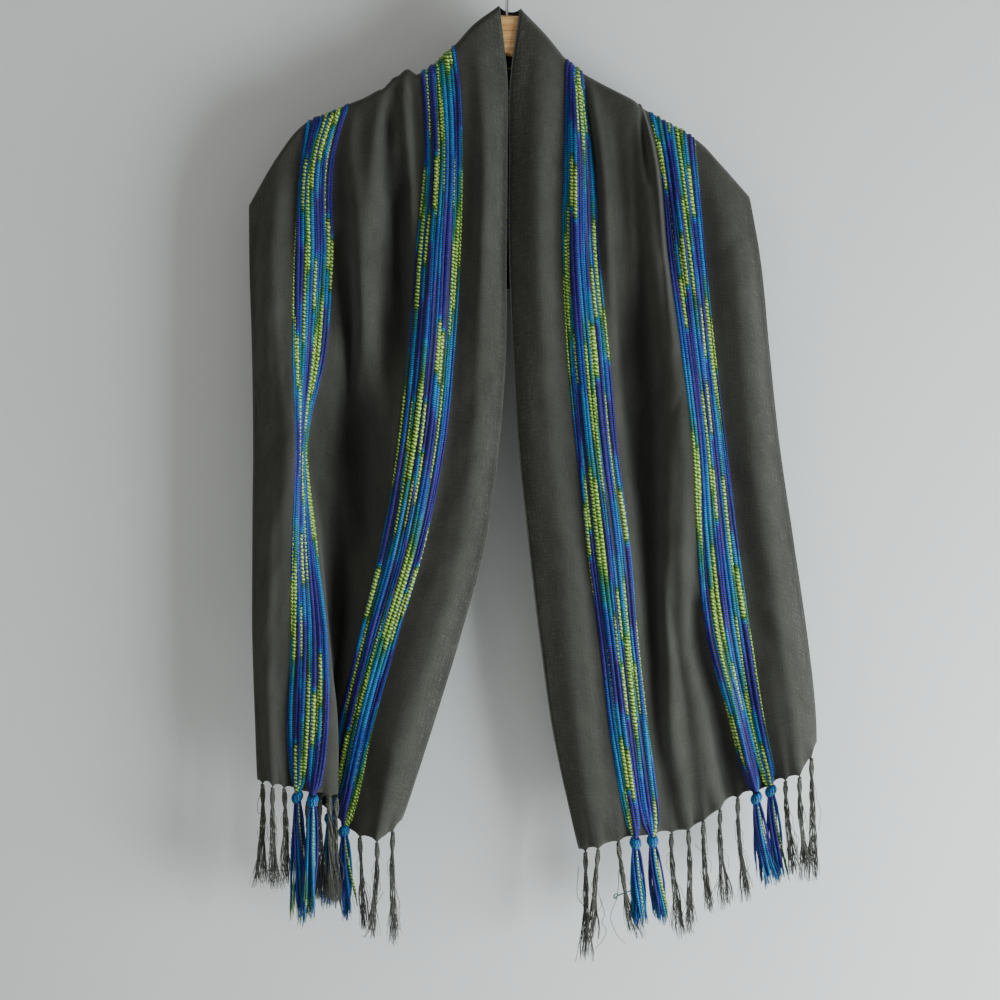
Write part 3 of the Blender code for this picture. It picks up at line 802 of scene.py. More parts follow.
def woven_cloth(settings):
    """Worsted in a plain weave: dull, with uneven threads, streaks down the warp, looser selvedges and painted
    shade in the troughs of its folds.
    """
    made, tree = new_material("worsted_plain_weave", {
        "Roughness": 0.88, "Specular IOR Level": 0.22, "Sheen Weight": 0.12, "Sheen Roughness": 0.6,
    })
    place = add_node(tree, "ShaderNodeUVMap", uv_map="cloth")["UV"]
    spacing = settings.thread_spacing / MM
    threads = []
    for label, size in (
        ("warp", (1 / spacing, 1 / WARP_STREAK, 1)), ("weft", (1 / WEFT_STREAK, 1 / spacing, 1)),
    ):
        cells = add_node(tree, "ShaderNodeVectorMath", {0: place, 1: size}, operation="MULTIPLY", label=label)[0]
        noise = {"Vector": cells, "Scale": 1.0, "Detail": 2.0, "Roughness": 0.6}
        threads.append(add_node(tree, "ShaderNodeTexNoise", noise)["Fac"])
    cloudy, fibre = (
        add_node(tree, "ShaderNodeTexNoise", {"Vector": place, "Scale": 1 / size, "Detail": 3.0})["Fac"]
        for size in (CLOUD, FIBRE)
    )
    woven = add_node(tree, "ShaderNodeMath", {0: threads[0], 1: threads[1]}, operation="ADD")[0]
    spread = add_node(tree, "ShaderNodeMath", {0: woven, 1: fibre}, operation="ADD")[0]
    toned = add_node(tree, "ShaderNodeMath", {0: cloudy, 1: 0.9, 2: spread}, operation="MULTIPLY_ADD")[0]
    share = add_node(
        tree, "ShaderNodeMapRange", {"Value": toned, "From Min": 1.45, "From Max": 2.45}
    )["Result"]
    threaded = add_node(
        tree, "ShaderNodeMix", {0: share, 6: (*settings.weft, 1), 7: (*settings.warp, 1)}, data_type="RGBA"
    )[2]
    across = add_node(tree, "ShaderNodeSeparateXYZ", {"Vector": place})["X"]
    middle = add_node(tree, "ShaderNodeMath", {0: across, 1: 0.5 * CLOTH_WIDTH}, operation="SUBTRACT")[0]
    outer = add_node(tree, "ShaderNodeMath", {0: middle}, operation="ABSOLUTE")[0]
    loose = add_node(
        tree, "ShaderNodeMapRange", {"Value": outer, "From Min": 150.0, "From Max": 184.0, "To Max": 0.5}
    )["Result"]
    holes = add_node(
        tree, "ShaderNodeMapRange", {"Value": spread, "From Min": 1.62, "From Max": 1.95}
    )["Result"]
    speckle = add_node(tree, "ShaderNodeMath", {0: loose, 1: holes}, operation="MULTIPLY")[0]
    coloured = add_node(
        tree, "ShaderNodeMix", {0: speckle, 6: threaded, 7: (*settings.gap, 1)}, data_type="RGBA"
    )[2]
    # Painted shade: the colour darkens to half where the cloth lies far in a trough of its folds
    hollow = add_node(tree, "ShaderNodeAttribute", attribute_name="hollow")["Fac"]
    shade = add_node(tree, "ShaderNodeMapRange", {"Value": hollow, "To Min": 1.0, "To Max": 0.5})["Result"]
    coloured = add_node(
        tree, "ShaderNodeMix", {0: 1.0, 6: coloured, 7: shade}, data_type="RGBA", blend_type="MULTIPLY"
    )[2]
    return finished(made, spread, 0.35, 0.0006, coloured)


def twist_of(tree):
    """A wave that winds round a tube as its plies do, from its turn along it and its place on the ring."""
    turn = add_node(tree, "ShaderNodeAttribute", attribute_name="turn")["Fac"]
    ring = add_node(tree, "ShaderNodeAttribute", attribute_name="ring")["Vector"]
    spot = add_node(tree, "ShaderNodeSeparateXYZ", {"Vector": ring})
    angle = add_node(tree, "ShaderNodeMath", {0: spot["Y"], 1: spot["X"]}, operation="ARCTAN2")[0]
    wound = add_node(tree, "ShaderNodeMath", {0: turn, 1: angle}, operation="ADD")[0]
    return add_node(tree, "ShaderNodeMath", {0: wound}, operation="SINE")[0]


def dyed_yarn(settings):
    """Space-dyed wool bouclé: soft runs of colour, and slanted plies with painted shade in their grooves and a
    painted highlight of pale lime on the crests of the lime runs.
    """
    made, tree = new_material("space_dyed_wool_boucle", {
        "Roughness": 0.55, "Specular IOR Level": 0.3, "Sheen Weight": 0.06, "Sheen Roughness": 0.5,
    })
    dye = add_node(tree, "ShaderNodeAttribute", attribute_name="dye")["Fac"]
    wave = twist_of(tree)
    place = add_node(tree, "ShaderNodeTexCoord")["Object"]
    tuft, drift = (
        add_node(tree, "ShaderNodeTexNoise", {"Vector": place, "Scale": scale, "Detail": 2.0})["Fac"]
        for scale in (620.0, 150.0)
    )
    moved = add_node(tree, "ShaderNodeMath", {0: drift, 1: 0.16, 2: dye}, operation="MULTIPLY_ADD")[0]
    centred = add_node(tree, "ShaderNodeMath", {0: moved, 1: 0.08}, operation="SUBTRACT")[0]
    stops = (
        (0.0, settings.indigo), (0.14, settings.violet), (0.28, settings.blue), (0.43, settings.sea),
        (0.56, settings.teal), (0.69, settings.green), (0.86, settings.lime), (1.0, settings.pale),
    )
    dyed = add_node(tree, "ShaderNodeValToRGB", {"Fac": centred}, stops=stops)["Color"]
    # The ply's twist with its tufts: it raises the bump, and in the colour it paints shade in the grooves and a
    # highlight on the crests
    crest = add_node(tree, "ShaderNodeMath", {0: wave, 1: 0.3, 2: tuft}, operation="MULTIPLY_ADD")[0]
    # Painted shade: the colour darkens to a fifth in the ply's grooves and brightens a little on its crests
    depths = {"Value": crest, "From Min": 0.28, "From Max": 0.72, "To Min": 0.2, "To Max": 1.1}
    painted_groove_shade = add_node(tree, "ShaderNodeMapRange", depths)["Result"]
    shaded = add_node(
        tree, "ShaderNodeMix", {0: 1.0, 6: dyed, 7: painted_groove_shade}, data_type="RGBA", blend_type="MULTIPLY"
    )[2]
    # Painted highlight: pale lime laid on the ply's crests where the dye is lime
    high = add_node(
        tree, "ShaderNodeMapRange", {"Value": crest, "From Min": 0.6, "From Max": 0.84, "To Max": 0.75}
    )["Result"]
    pale = add_node(tree, "ShaderNodeMapRange", {"Value": centred, "From Min": 0.7, "From Max": 0.85})["Result"]
    painted_crest_highlight = add_node(tree, "ShaderNodeMath", {0: high, 1: pale}, operation="MULTIPLY")[0]
    coloured = add_node(tree, "ShaderNodeMix", {0: painted_crest_highlight, 6: shaded, 7: (*settings.pale, 1)}, data_type="RGBA")[2]
    return finished(made, crest, 0.6, 0.0008, coloured)


def grey_cord(settings):
    """Worsted ends, two plies twisted, each strand in its own tone: painted shade in the ply's grooves and a
    painted highlight on its crests.
    """
    made, tree = new_material(
        "twisted_worsted_cord", {"Roughness": 0.85, "Specular IOR Level": 0.25, "Sheen Weight": 0.15}
    )
    strand = add_node(tree, "ShaderNodeAttribute", attribute_name="strand")["Fac"]
    ply = twist_of(tree)
    tone = add_node(tree, "ShaderNodeTexNoise", {"W": strand, "Scale": 3.0}, noise_dimensions="1D")["Fac"]
    place = add_node(tree, "ShaderNodeTexCoord")["Object"]
    fibre = add_node(tree, "ShaderNodeTexNoise", {"Vector": place, "Scale": 500.0, "Detail": 2.0})["Fac"]
    # The ply's twist raises the bump, and in the colour it is painted shade in the grooves and a painted
    # highlight on the crests
    twisted = add_node(tree, "ShaderNodeMath", {0: ply, 1: 0.16, 2: fibre}, operation="MULTIPLY_ADD")[0]
    summed = add_node(tree, "ShaderNodeMath", {0: tone, 1: 0.8, 2: twisted}, operation="MULTIPLY_ADD")[0]
    share = add_node(tree, "ShaderNodeMapRange", {"Value": summed, "From Min": 0.6, "From Max": 1.25})["Result"]
    coloured = add_node(
        tree, "ShaderNodeMix", {0: share, 6: (*settings.dark, 1), 7: (*settings.light, 1)}, data_type="RGBA"
    )[2]
    return finished(made, twisted, 0.6, 0.0004, coloured)


def varnished_wood(settings):
    """Turned beech under clear varnish: fine straight grain along the arms, short dark pores, a soft gloss."""
    made, tree = new_material(
        "varnished_beech", {"Roughness": 0.38, "Coat Weight": 0.35, "Coat Roughness": 0.18, "IOR": 1.5}
    )
    place = add_node(tree, "ShaderNodeTexCoord")["Object"]
    along = add_node(tree, "ShaderNodeMapping", {"Vector": place, "Scale": (14.0, 420.0, 420.0)})["Vector"]
    grain = add_node(tree, "ShaderNodeTexNoise", {"Vector": along, "Scale": 1.0, "Detail": 5.0})["Fac"]
    short = add_node(tree, "ShaderNodeMapping", {"Vector": place, "Scale": (160.0, 1500.0, 1500.0)})["Vector"]
    pores = add_node(tree, "ShaderNodeTexNoise", {"Vector": short, "Scale": 1.0, "Detail": 1.0})["Fac"]
    marked = add_node(tree, "ShaderNodeMath", {0: pores, 1: 0.5, 2: grain}, operation="MULTIPLY_ADD")[0]
    share = add_node(tree, "ShaderNodeMapRange", {"Value": marked, "From Min": 0.6, "From Max": 0.95})["Result"]
    coloured = add_node(
        tree, "ShaderNodeMix", {0: share, 6: (*settings.wood, 1), 7: (*settings.grain, 1)}, data_type="RGBA"
    )[2]
    return finished(made, marked, 0.12, 0.0003, coloured)


def drawn_wire(settings):
    """Bright drawn steel: a clean metal with faint draw lines along it."""
    made, tree = new_material("drawn_steel_wire", {
        "Base Color": (*settings.wire, 1), "Metallic": 1.0, "Roughness": 0.28,
    })
    place = add_node(tree, "ShaderNodeTexCoord")["Object"]
    line = add_node(tree, "ShaderNodeMapping", {"Vector": place, "Scale": (900.0, 900.0, 60.0)})["Vector"]
    drawn = add_node(tree, "ShaderNodeTexNoise", {"Vector": line, "Scale": 1.0, "Detail": 2.0})["Fac"]
    return finished(made, drawn, 0.08, 0.0002)


def painted_wall(settings):
    """Matt emulsion on plaster: faint roller stipple. Its back lets every view from behind see through."""
    made, tree = new_material("matt_painted_plaster", {
        "Base Color": (*settings.wall, 1), "Roughness": 0.9, "Specular IOR Level": 0.15,
    })
    place = add_node(tree, "ShaderNodeTexCoord")["Object"]
    stipple = add_node(tree, "ShaderNodeTexNoise", {"Vector": place, "Scale": 260.0, "Detail": 3.0})["Fac"]
    behind = add_node(tree, "ShaderNodeNewGeometry")["Backfacing"]
    clear = add_node(tree, "ShaderNodeBsdfTransparent")["BSDF"]
    painted = tree.nodes["Principled BSDF"].outputs["BSDF"]
    seen = add_node(tree, "ShaderNodeMixShader", {0: behind, 1: painted, 2: clear})["Shader"]
    tree.links.new(seen, tree.nodes["Material Output"].inputs["Surface"])
    return finished(made, stipple, 0.25, 0.0006)


def tube_tree(finish):
    """Geometry Nodes: tubes along a piece's paths, as thick as their points say, swollen by their beads."""
    tree = bpy.data.node_groups.new("tubes_along_paths", "GeometryNodeTree")
    face = tree.interface
    face.new_socket("Geometry", in_out="INPUT", socket_type="NodeSocketGeometry")
    for name, kind, value in (("Sides", "Int", 6), ("Width", "Float", 1.0), ("Swell", "Float", 1.0)):
        face.new_socket(name, in_out="INPUT", socket_type=f"NodeSocket{kind}").default_value = value
    face.new_socket("Geometry", in_out="OUTPUT", socket_type="NodeSocketGeometry")
    given = add_node(tree, "NodeGroupInput")
    paths = add_node(tree, "GeometryNodeMeshToCurve", {"Mesh": given["Geometry"]})["Curve"]
    thick, bead = (
        add_node(tree, "GeometryNodeInputNamedAttribute", {"Name": name}, data_type="FLOAT")["Attribute"]
        for name in ("thick", "bead")
    )
    grown = {0: bead, 1: given["Swell"], 2: 1.0}
    swollen = add_node(tree, "ShaderNodeMath", grown, operation="MULTIPLY_ADD")[0]
    # The tubes' radius in metres: each factor in turn multiplies what is there
    metres = thick
    for factor in (given["Width"], swollen, MM):
        metres = add_node(tree, "ShaderNodeMath", {0: metres, 1: factor}, operation="MULTIPLY")[0]
    circle = add_node(tree, "GeometryNodeCurvePrimitiveCircle", {"Resolution": given["Sides"], "Radius": 1.0})
    spot = add_node(tree, "GeometryNodeInputPosition")["Position"]
    marked = {"Geometry": circle["Curve"], "Name": "ring", "Value": spot}
    ring = add_node(
        tree, "GeometryNodeStoreNamedAttribute", marked, data_type="FLOAT_VECTOR", domain="POINT"
    )["Geometry"]
    swept = {"Curve": paths, "Profile Curve": ring, "Scale": metres, "Fill Caps": True}
    tubes = add_node(tree, "GeometryNodeCurveToMesh", swept)["Mesh"]
    soft = add_node(tree, "GeometryNodeSetShadeSmooth", {"Geometry": tubes})["Geometry"]
    real = add_node(tree, "GeometryNodeRealizeInstances", {"Geometry": soft})["Geometry"]
    done = add_node(tree, "GeometryNodeSetMaterial", {"Geometry": real, "Material": finish})["Geometry"]
    add_node(tree, "NodeGroupOutput", {"Geometry": done})
    return tree


def add_piece(name, mesh, slot, *nodes):
    """A finished piece in the scene, on the one body, hiding the nodes that it stands for. Its slot is not used.
    """
    piece = bpy.data.objects.new(name, mesh)
    bpy.context.scene.collection.objects.link(piece)
    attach(piece, "root")
    if nodes:
        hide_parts(*nodes)
    return piece


def add_tubes(name, strands, finish, slot, nodes=(), sides=6):
    """The strands' paths turned into one mesh of tubes by Geometry Nodes."""
    mesh = bpy.data.meshes.new(name)
    mesh.from_pydata((np.concatenate(strands.points) * MM).tolist(), np.concatenate(strands.edges).tolist(), [])
    for key, values in strands.values.items():
        layer = mesh.attributes.new(key, "FLOAT", "POINT")
        layer.data.foreach_set("value", np.concatenate(values).astype(np.float32))
    paths = bpy.data.objects.new(name + "_paths", mesh)
    bpy.context.scene.collection.objects.link(paths)
    tree = tube_tree(finish)
    tubes = paths.modifiers.new("tubes", "NODES")
    tubes.node_group = tree
    sockets = {item.name: item.identifier for item in tree.interface.items_tree if item.in_out == "INPUT"}
    for label, value in (("Sides", sides), ("Width", 1.0), ("Swell", 1.0)):
        tubes[sockets[label]] = value
    graph = bpy.context.evaluated_depsgraph_get()
    shown = paths.evaluated_get(graph)
    made = bpy.data.meshes.new_from_object(shown, preserve_all_data_layers=True, depsgraph=graph)
    made.name = name
    bpy.data.objects.remove(paths)
    if not made.polygons:
        raise RuntimeError(f"{name}: the paths gave no tubes")
    return add_piece(name, made, slot, *nodes)


def knot_top(sheet, side, i):
    """The lowest point of the hem over tassel i of a side, in mm."""
    row = sheet[0 if side == "left" else -1]
    return row[int((i + 0.5) * COLUMNS_PER_CELL)]


def tassel_node(side, i):
    """The name of the solid of tassel i of a side."""
    return f"{side}_tassel_{i + 1:02d}"


def is_dyed(i):
    """Whether tassel i ends a band of dyed yarns."""
    return any(start <= i < stop for start, stop in BANDS.values())


def add_knot(strands, middle, radius, cord, dyes):
    """Tilted turns of cord, one under the other, that close into a ball, with one dye for each turn."""
    turn = strands.varied.uniform(0, 6)
    for k, dye in enumerate(dyes):
        level = (k + 0.5) / len(dyes) * 2 - 1
        ring = (radius - cord) * math.sqrt(1 - KNOT_SQUAT * level**2)
        angle = np.linspace(0, KNOT_TURN, 19) + turn + KNOT_STEP * k
        height = KNOT_TILT * radius * np.sin(angle - turn) - KNOT_SQUAT * level * (radius - 0.4 * cord)
        points = np.column_stack([ring * np.cos(angle), ring * np.sin(angle), height])
        strands.add(points + middle, cord, dye=dye)


def add_frays(strands, points, low, count, radius, spread, dye=0.0):
    """Fine threads that leave the lower part of a cord and splay to about its end, none below low."""
    n = len(points)
    for _ in range(count):
        start = int(n * strands.varied.uniform(0.4, 0.78))
        tail = points[start::2].copy()
        if len(tail) < 4:
            continue
        t = np.linspace(0, 1, len(tail))
        out = strands.varied.normal(0, spread, 2)
        curl = strands.varied.uniform(-0.7, 0.7, 2)
        tail[:, 0] += out[0] * t**1.4 + curl[0] * np.sin(t * math.pi * 1.5)
        tail[:, 1] += 0.6 * out[1] * t**1.4 + curl[1] * np.sin(t * math.pi * 1.5)
        tail[:, 2] += (tail[:, 2] - tail[0, 2]) * strands.varied.uniform(-0.16, 0.16)
        tail[:, 2] = np.maximum(tail[:, 2], low + strands.varied.uniform(0, 2))
        strands.add(tail, radius * (1 - 0.45 * t), dye=dye)


def add_stray(strands, points):
    """One fibre that wanders out of a tassel in a loose curl and back to it."""
    n = len(points)
    start = int(n * strands.varied.uniform(0.1, 0.6))
    stop = min(n, start + max(6, int(n * strands.varied.uniform(0.25, 0.45))))
    tail = points[start:stop].copy()
    t = np.linspace(0, 1, len(tail))
    out = strands.varied.choice([-1, 1]) * STRAY_REACH * strands.varied.uniform(0.5, 1.0)
    tail[:, 0] += out * np.sin(math.pi * t * 0.85) + 0.8 * np.sin(t * strands.varied.uniform(9, 20))
    tail[:, 1] += strands.varied.uniform(-2.5, 1.0) * np.sin(math.pi * t)
    strands.add(tail, STRAY_RADIUS)


def loose_threads(side, dyed):
    """A smooth path for each plain or dyed loose thread of a side."""
    for thread in (t for t in THREADS if t.side == side and t.dyed == dyed):
        knots = np.column_stack([thread.x, thread.depth, thread.height])
        at = np.linspace(0, len(knots) - 1, THREAD_POINTS)
        yield smooth(at, np.arange(len(knots)), knots)


def plain_tassel(strands, top, end, lean):
    """A small tight knot, then cords in twisted plies that loosen, part and fray towards their ends."""
    varied = strands.varied
    settings = bpy.context.scene.scarf.fringe
    add_knot(strands, top - np.array([0, 0, KNOT_PLAIN * 0.7]), KNOT_PLAIN, 1.0, (0.0, 0.0, 0.0))
    length = top[2] - end - 1.5
    parted = varied.uniform(0.15, 1.35)
    opens = varied.uniform(0.16, 0.5)
    drift = varied.uniform(-1.2, 1.2, 2)
    for ply in range(PLIES):
        side = 1 if ply else -1
        for k in range(CORDS_PER_PLY):
            reach = length * varied.uniform(0.84, 1.0)
            t = np.linspace(0, 1, 44)
            ply_turn = 2.6 * math.pi * np.minimum(t, opens) + math.pi * ply + 0.3 * t
            loose = ease((t - opens) / (1 - opens))
            cord_turn = 5.0 * math.pi * t * (1 - 0.35 * t) + 2 * math.pi * k / CORDS_PER_PLY
            own = varied.normal(0, 1, 2)
            start = np.minimum(1, 0.45 + t * 9)
            x = 1.5 * start * np.cos(ply_turn) * (1 - loose) + side * settings.fray / MM * 0.6 * parted * loose
            y = 1.5 * start * np.sin(ply_turn) * (1 - loose) + side * 0.8 * loose
            ring = PLY_RADIUS * start * (1 + 0.7 * loose)
            x += ring * np.cos(cord_turn) + own[0] * 2.2 * loose**2 + lean * t**1.3 + drift[0] * np.sin(5 * t)
            y += ring * np.sin(cord_turn) + own[1] * 1.3 * loose**2 + drift[1] * np.sin(4 * t)
            points = np.column_stack([x, y, -2.0 - (reach - 2.0) * t]) + top
            strands.add(points, CORD_RADIUS * (1 - 0.6 * t**1.5))
            add_frays(strands, points, end, **PLAIN_FRAYS)
    for _ in range(settings.strays):
        add_stray(strands, points)


def dyed_tassel(strands, top, end, lean, phase):
    """A round knot of bouclé, then thick dyed yarns that hang side by side and part at their ends."""
    varied = strands.varied
    middle = top - np.array([0, 0, KNOT_DYED * 0.75])
    add_knot(strands, middle, KNOT_DYED, 2.0, KNOT_DYE)
    length = top[2] - end - 1.0
    for k in range(THICK_YARNS + THIN_YARNS):
        thin = k >= THICK_YARNS
        angle = GOLDEN_TURN * k
        root = 4.9 * math.sqrt((k % THICK_YARNS + 0.4) / THICK_YARNS)
        reach = length * (varied.uniform(0.82, 0.97) if k else 1.0)
        t = np.linspace(0, 1, 46)
        own = varied.normal(0, 1, 2)
        out = root * (0.62 + 0.38 * ease(t * 6)) * (1 + 0.8 * ease(t * 1.4))
        swing = angle + 0.9 * t
        x = out * np.cos(swing) + own[0] * 3.2 * t**2 + lean * t**1.2 + 0.9 * np.sin(3.5 * t + k)
        y = out * 0.7 * np.sin(swing) + own[1] * 1.0 * t**2
        points = np.column_stack([x, y, -KNOT_DYED * 1.1 - (reach - KNOT_DYED * 1.1) * t]) + top
        start = LIME_START + 3 * k if k % 7 == 3 else (phase + 53 * k) % BLUE_RUNS
        radius = 0.65 if thin else varied.uniform(1.0, 1.5)
        strands.add_yarn(points, radius, start, DYED_STEP, 1, 0.6, (0.25, 16.0))
        add_frays(strands, points, end, dye=dye_at(np.array([start + reach]))[0], **DYED_FRAYS)


def add_fringe(kind, finish, slot, sides):
    """One piece on each side of its plain or its dyed tassels, with the loose threads of that kind."""
    sheet, _ = whole_sheet()
    dyed = kind == "dyed"
    chosen = [i for i in range(CELLS) if is_dyed(i) == dyed]
    for side in ("left", "right"):
        strands = Strands(len(side) * (13 if dyed else 11))
        for i in chosen:
            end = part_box(tassel_node(side, i))[0][2] / MM
            hung = (strands, knot_top(sheet, side, i), end, LEANS[side][i])
            if dyed:
                dyed_tassel(*hung, 61 * i + 17 * len(side))
            else:
                plain_tassel(*hung)
        for path in loose_threads(side, dyed):
            if dyed:
                strands.add_yarn(path, **DYED_THREAD)
            else:
                strands.add(path, PLAIN_THREAD_RADIUS)
        add_tubes(f"{side}_{kind}_fringe", strands, finish, slot, [tassel_node(side, i) for i in chosen], sides)


def band_strands(sheet, name, half):
    """The yarns of one band, from the middle of the back to one hem, where they run into two knots."""
    settings = bpy.context.scene.scarf.bands
    strands = Strands(sum(map(ord, name + half)))
    varied = np.random.default_rng(BAND_SEEDS[name])
    # Neighbours come off the dyed cone nearly in step, so their runs make fields, and now and then one jumps
    jumps = np.where(varied.random(settings.yarns) < JUMP_SHARE, YARN_JUMP, 0.0)
    phases = varied.uniform(0, 600) + np.cumsum(varied.normal(0, PHASE_DRIFT, settings.yarns) + jumps)
    widths = varied.uniform(*YARN_WIDTHS, settings.yarns)
    middle = len(sheet) // 2
    rows = sheet[: middle + 1][::-1] if half == "left" else sheet[middle:]
    start, stop = BANDS[name]
    edges = start + (stop - start) * np.concatenate([[0], np.cumsum(widths)]) / widths.sum()
    far = np.arange(len(rows))
    for k, phase in enumerate(phases):
        cells = 0.5 * (edges[k] + edges[k + 1])
        wander = YARN_WANDER * np.sin(far / 23 + 2.1 * k) * np.minimum(far / 20, 1)
        points = line_of(rows, cells + wander)
        i = start if cells < start + 1 else start + 1
        knot = knot_top(sheet, half, i) - np.array([0, 0, 0.7 * KNOT_DYED])
        # Over the last rows the yarns draw together towards their knot
        closing = 0.2 * ease((far - len(rows) + 11) / 9) + 0.5 * ease((far - len(rows) + 4.5) / 4)
        points = points + (knot - points) * closing[:, None] * np.array([1, 1, 0])
        tail = knot + (points[-1] - knot) * np.array([0.5, 0.5, 0.0])
        points = np.concatenate([points, [tail]])
        radius = YARN_RADIUS * (edges[k + 1] - edges[k]) * CELL
        strands.add_yarn(points, radius, phase, settings.step / MM, -1 if half == "left" else 1)
    return strands


def cloth_mesh(sheet, along, finish):
    """The sheet as faces, with its flat cut in mm as its UV map and the painted shade for the troughs of its
    folds.
    """
    rows, across = sheet.shape[:2]
    index = np.arange(rows * across).reshape(rows, across)
    quads = np.stack([index[:-1, :-1], index[:-1, 1:], index[1:, 1:], index[1:, :-1]], axis=-1).reshape(-1, 4)
    mesh = bpy.data.meshes.new("charcoal_cloth")
    mesh.from_pydata((sheet.reshape(-1, 3) * MM).tolist(), [], quads.tolist())
    flat = np.stack([np.broadcast_to(columns() * CELL, (rows, across)), along], axis=-1).reshape(-1, 2)
    layer = mesh.uv_layers.new(name="cloth")
    layer.data.foreach_set("uv", flat[quads.reshape(-1)].astype(np.float32).reshape(-1))
    # Painted shade: how far in each point lies between its neighbours across the cloth, which darkens its colour
    # in the troughs of the folds
    reach = 2 * COLUMNS_PER_CELL
    padded = np.pad(sheet[..., 1], ((0, 0), (reach, reach)), mode="edge")
    around = np.mean([padded[:, i : i + across] for i in range(2 * reach + 1)], axis=0)
    front = np.sign(-sheet[..., 1:2].mean(axis=1))
    hollow = np.clip((sheet[..., 1] - around) * front / PAINTED_SHADE_DEPTH, 0, 1)
    shade = mesh.attributes.new("hollow", "FLOAT", "POINT")
    shade.data.foreach_set("value", hollow.astype(np.float32).reshape(-1))
    mesh.shade_smooth()
    mesh.materials.append(finish)
    return mesh


class SCARF_OT_bands(bpy.types.Operator):
    """Lay the space-dyed yarns of both bands into the cloth"""

    bl_idname = "scarf.bands"
    bl_label = "Yarn Bands"

    def execute(self, context):
        sheet, _ = whole_sheet()
        finish = dyed_yarn(context.scene.scarf.bands)
        for name in BANDS:
            for half in ("left", "right"):
                add_tubes(f"{name}_band_{half}", band_strands(sheet, name, half), finish, "cloth")
        return {"FINISHED"}


class SCARF_OT_plain_fringe(bpy.types.Operator):
    """Knot and hang the charcoal tassels of both hems, with their loose threads"""

    bl_idname = "scarf.plain_fringe"
    bl_label = "Plain Fringe"

    def execute(self, context):
        add_fringe("plain", grey_cord(context.scene.scarf.fringe), "plain_fringe", 5)
        return {"FINISHED"}


class SCARF_OT_dyed_fringe(bpy.types.Operator):
    """Knot and hang the space-dyed tassels of both hems"""

    bl_idname = "scarf.dyed_fringe"
    bl_label = "Dyed Fringe"

    def execute(self, context):
        add_fringe("dyed", dyed_yarn(context.scene.scarf.bands), "fancy_fringe", 6)
        return {"FINISHED"}


class SCARF_OT_cloth(bpy.types.Operator):
    """Drape the charcoal cloth and roll its selvedges, under the bands and fringe made before it"""

    bl_idname = "scarf.cloth"
    bl_label = "Cloth"

    def execute(self, context):
        settings = context.scene.scarf.cloth
        sheet, along = whole_sheet()
        mesh = cloth_mesh(sheet, along, woven_cloth(settings))
        cloth = add_piece("charcoal_cloth", mesh, "cloth", "left_front", "right_front", "back")
        wall = cloth.modifiers.new("wall", "SOLIDIFY")
        wall.thickness = settings.thickness
        wall.offset = 0.0
        strands = Strands(5)
        for cell in (0.0, CELLS):
            points, _ = resampled(line_of(sheet, cell), 4.0)
            strands.add(points, settings.selvedge / MM)
        selvedges = add_tubes("rolled_selvedges", strands, grey_cord(context.scene.scarf.fringe), "cloth")
        on_it = [f"{name}_band_{half}" for name in BANDS for half in ("left", "right")]
        on_it += [f"{side}_{kind}_fringe" for side in ("left", "right") for kind in ("plain", "dyed")]
        return {"FINISHED"}


class SCARF_OT_hanger(bpy.types.Operator):
    """Finish the hanger's wooden arms and its wire hook"""

    bl_idname = "scarf.hanger"
    bl_label = "Hanger"

    def execute(self, context):
        settings = context.scene.scarf.hanger
        for node, finish in (("hanger_arms", varnished_wood(settings)), ("hook", drawn_wire(settings))):
            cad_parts[node].data.materials.clear()
            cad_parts[node].data.materials.append(finish)
        return {"FINISHED"}


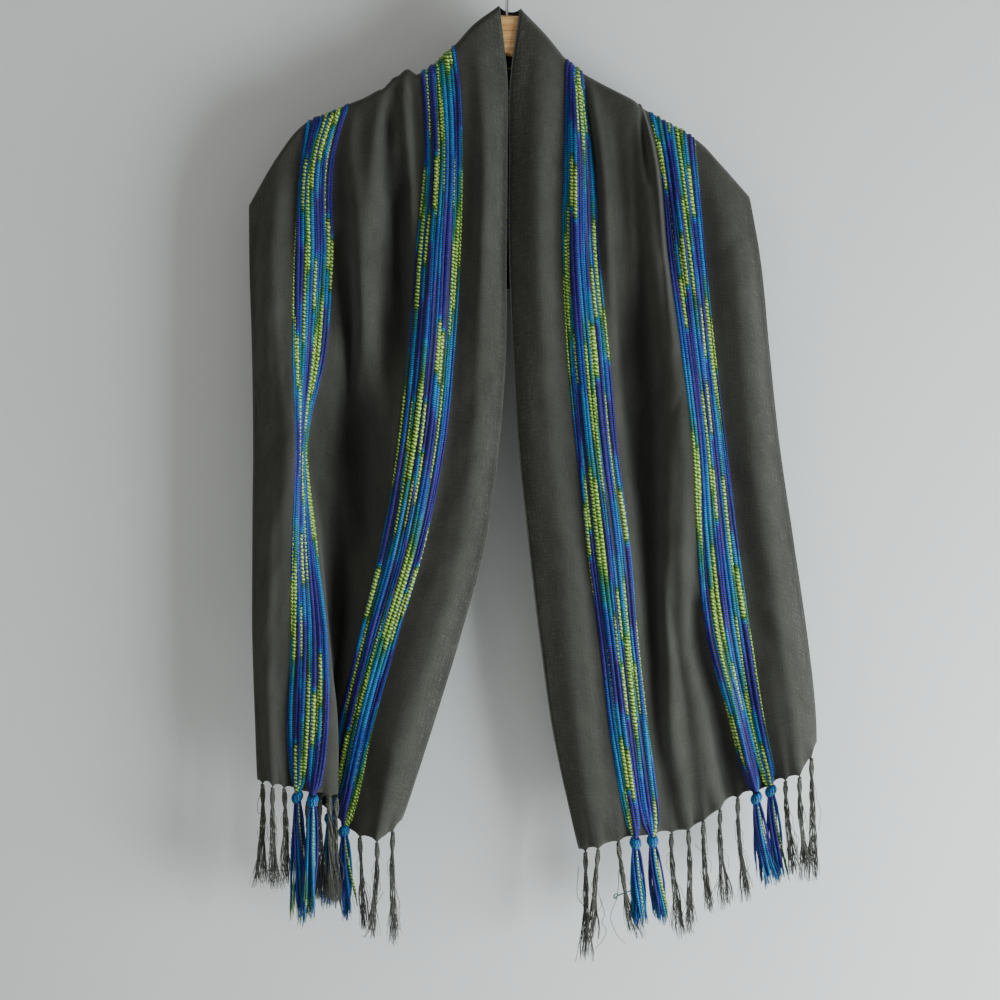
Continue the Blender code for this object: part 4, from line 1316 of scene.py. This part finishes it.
class SCARF_OT_stage(bpy.types.Operator):
    """Set the pale wall and floor, the soft light from the right and the camera straight on"""

    bl_idname = "scarf.stage"
    bl_label = "Stage"

    def execute(self, context):
        settings = context.scene.scarf.stage
        floor = CAD_BOX[0][2] / MM - FLOOR_DROP
        bend = np.linspace(0, 0.5 * math.pi, 9)
        profile = [(WALL_DEPTH, WALL_TOP)]
        profile += [(WALL_DEPTH - COVE * (1 - math.cos(a)), floor + COVE * (1 - math.sin(a))) for a in bend]
        profile.append((FLOOR_REACH, floor))
        points = [(x * MM, y * MM, z * MM) for x in (-WALL_REACH, WALL_REACH) for y, z in profile]
        n = len(profile)
        faces = [(i, i + 1, n + i + 1, n + i) for i in range(n - 1)]
        mesh = bpy.data.meshes.new("wall_and_floor")
        mesh.from_pydata(points, [], faces)
        mesh.shade_smooth()
        mesh.materials.append(painted_wall(settings))
        if mesh.polygons[0].normal.y > 0:
            mesh.flip_normals()
        backdrop = bpy.data.objects.new("wall_and_floor", mesh)
        context.scene.collection.objects.link(backdrop)
        for name, place, size, tint, power in (
            ("key_light", (1.9, -1.05, -1.35), 1.2, (0.89, 0.97, 1.0), settings.key),
            ("fill_light", (-1.7, -2.2, 0.4), 1.6, (1.0, 0.97, 0.94), settings.fill),
        ):
            light = bpy.data.lights.new(name, "AREA")
            light.color = tint
            light.size = size
            light.energy = power
            lamp = bpy.data.objects.new(name, light)
            lamp.location = place
            lamp.rotation_euler = (VIEW_MIDDLE - Vector(place)).to_track_quat("-Z", "Y").to_euler()
            context.scene.collection.objects.link(lamp)
        world = bpy.data.worlds.new("soft_room")
        world.use_nodes = True
        background = world.node_tree.nodes["Background"].inputs
        background["Color"].default_value = (*settings.wall, 1)
        background["Strength"].default_value = WORLD_STRENGTH
        context.scene.world = world
        camera = bpy.data.cameras.new("camera")
        camera.lens = camera.sensor_width * settings.distance / VIEW_WIDTH
        eye = bpy.data.objects.new("camera", camera)
        eye.location = (VIEW_MIDDLE.x, CLOTH_FRONT - settings.distance, VIEW_MIDDLE.z)
        eye.rotation_euler = (0.5 * math.pi, 0, 0)
        context.scene.collection.objects.link(eye)
        context.scene.camera = eye
        return {"FINISHED"}


class SCARF_PT_panel(bpy.types.Panel):
    """The scarf's pieces, in the order in which they are made"""

    bl_label = "Fringed Scarf"
    bl_idname = "SCARF_PT_panel"
    bl_space_type = "VIEW_3D"
    bl_region_type = "UI"
    bl_category = "Scarf"

    def draw(self, context):
        for operator in OPERATORS:
            self.layout.operator(operator.bl_idname)
        for group in ("cloth", "bands", "fringe", "hanger", "stage"):
            settings = getattr(context.scene.scarf, group)
            box = self.layout.box()
            box.label(text=group.capitalize())
            for name in settings.__annotations__:
                box.prop(settings, name)


OPERATORS = (
    SCARF_OT_bands, SCARF_OT_plain_fringe, SCARF_OT_dyed_fringe, SCARF_OT_cloth,
    SCARF_OT_hanger, SCARF_OT_stage,
)
CLASSES = (
    ClothSettings, BandSettings, FringeSettings, HangerSettings, StageSettings, ScarfSettings,
    *OPERATORS, SCARF_PT_panel,
)


def register():
    for cls in CLASSES:
        bpy.utils.register_class(cls)
    bpy.types.Scene.scarf = PointerProperty(type=ScarfSettings)


def unregister():
    del bpy.types.Scene.scarf
    for cls in reversed(CLASSES):
        bpy.utils.unregister_class(cls)


def main():
    register()
    bpy.ops.scarf.bands()
    bpy.ops.scarf.plain_fringe()
    bpy.ops.scarf.dyed_fringe()
    bpy.ops.scarf.cloth()
    bpy.ops.scarf.hanger()
    bpy.ops.scarf.stage()


if __name__ == "__main__":
    main()
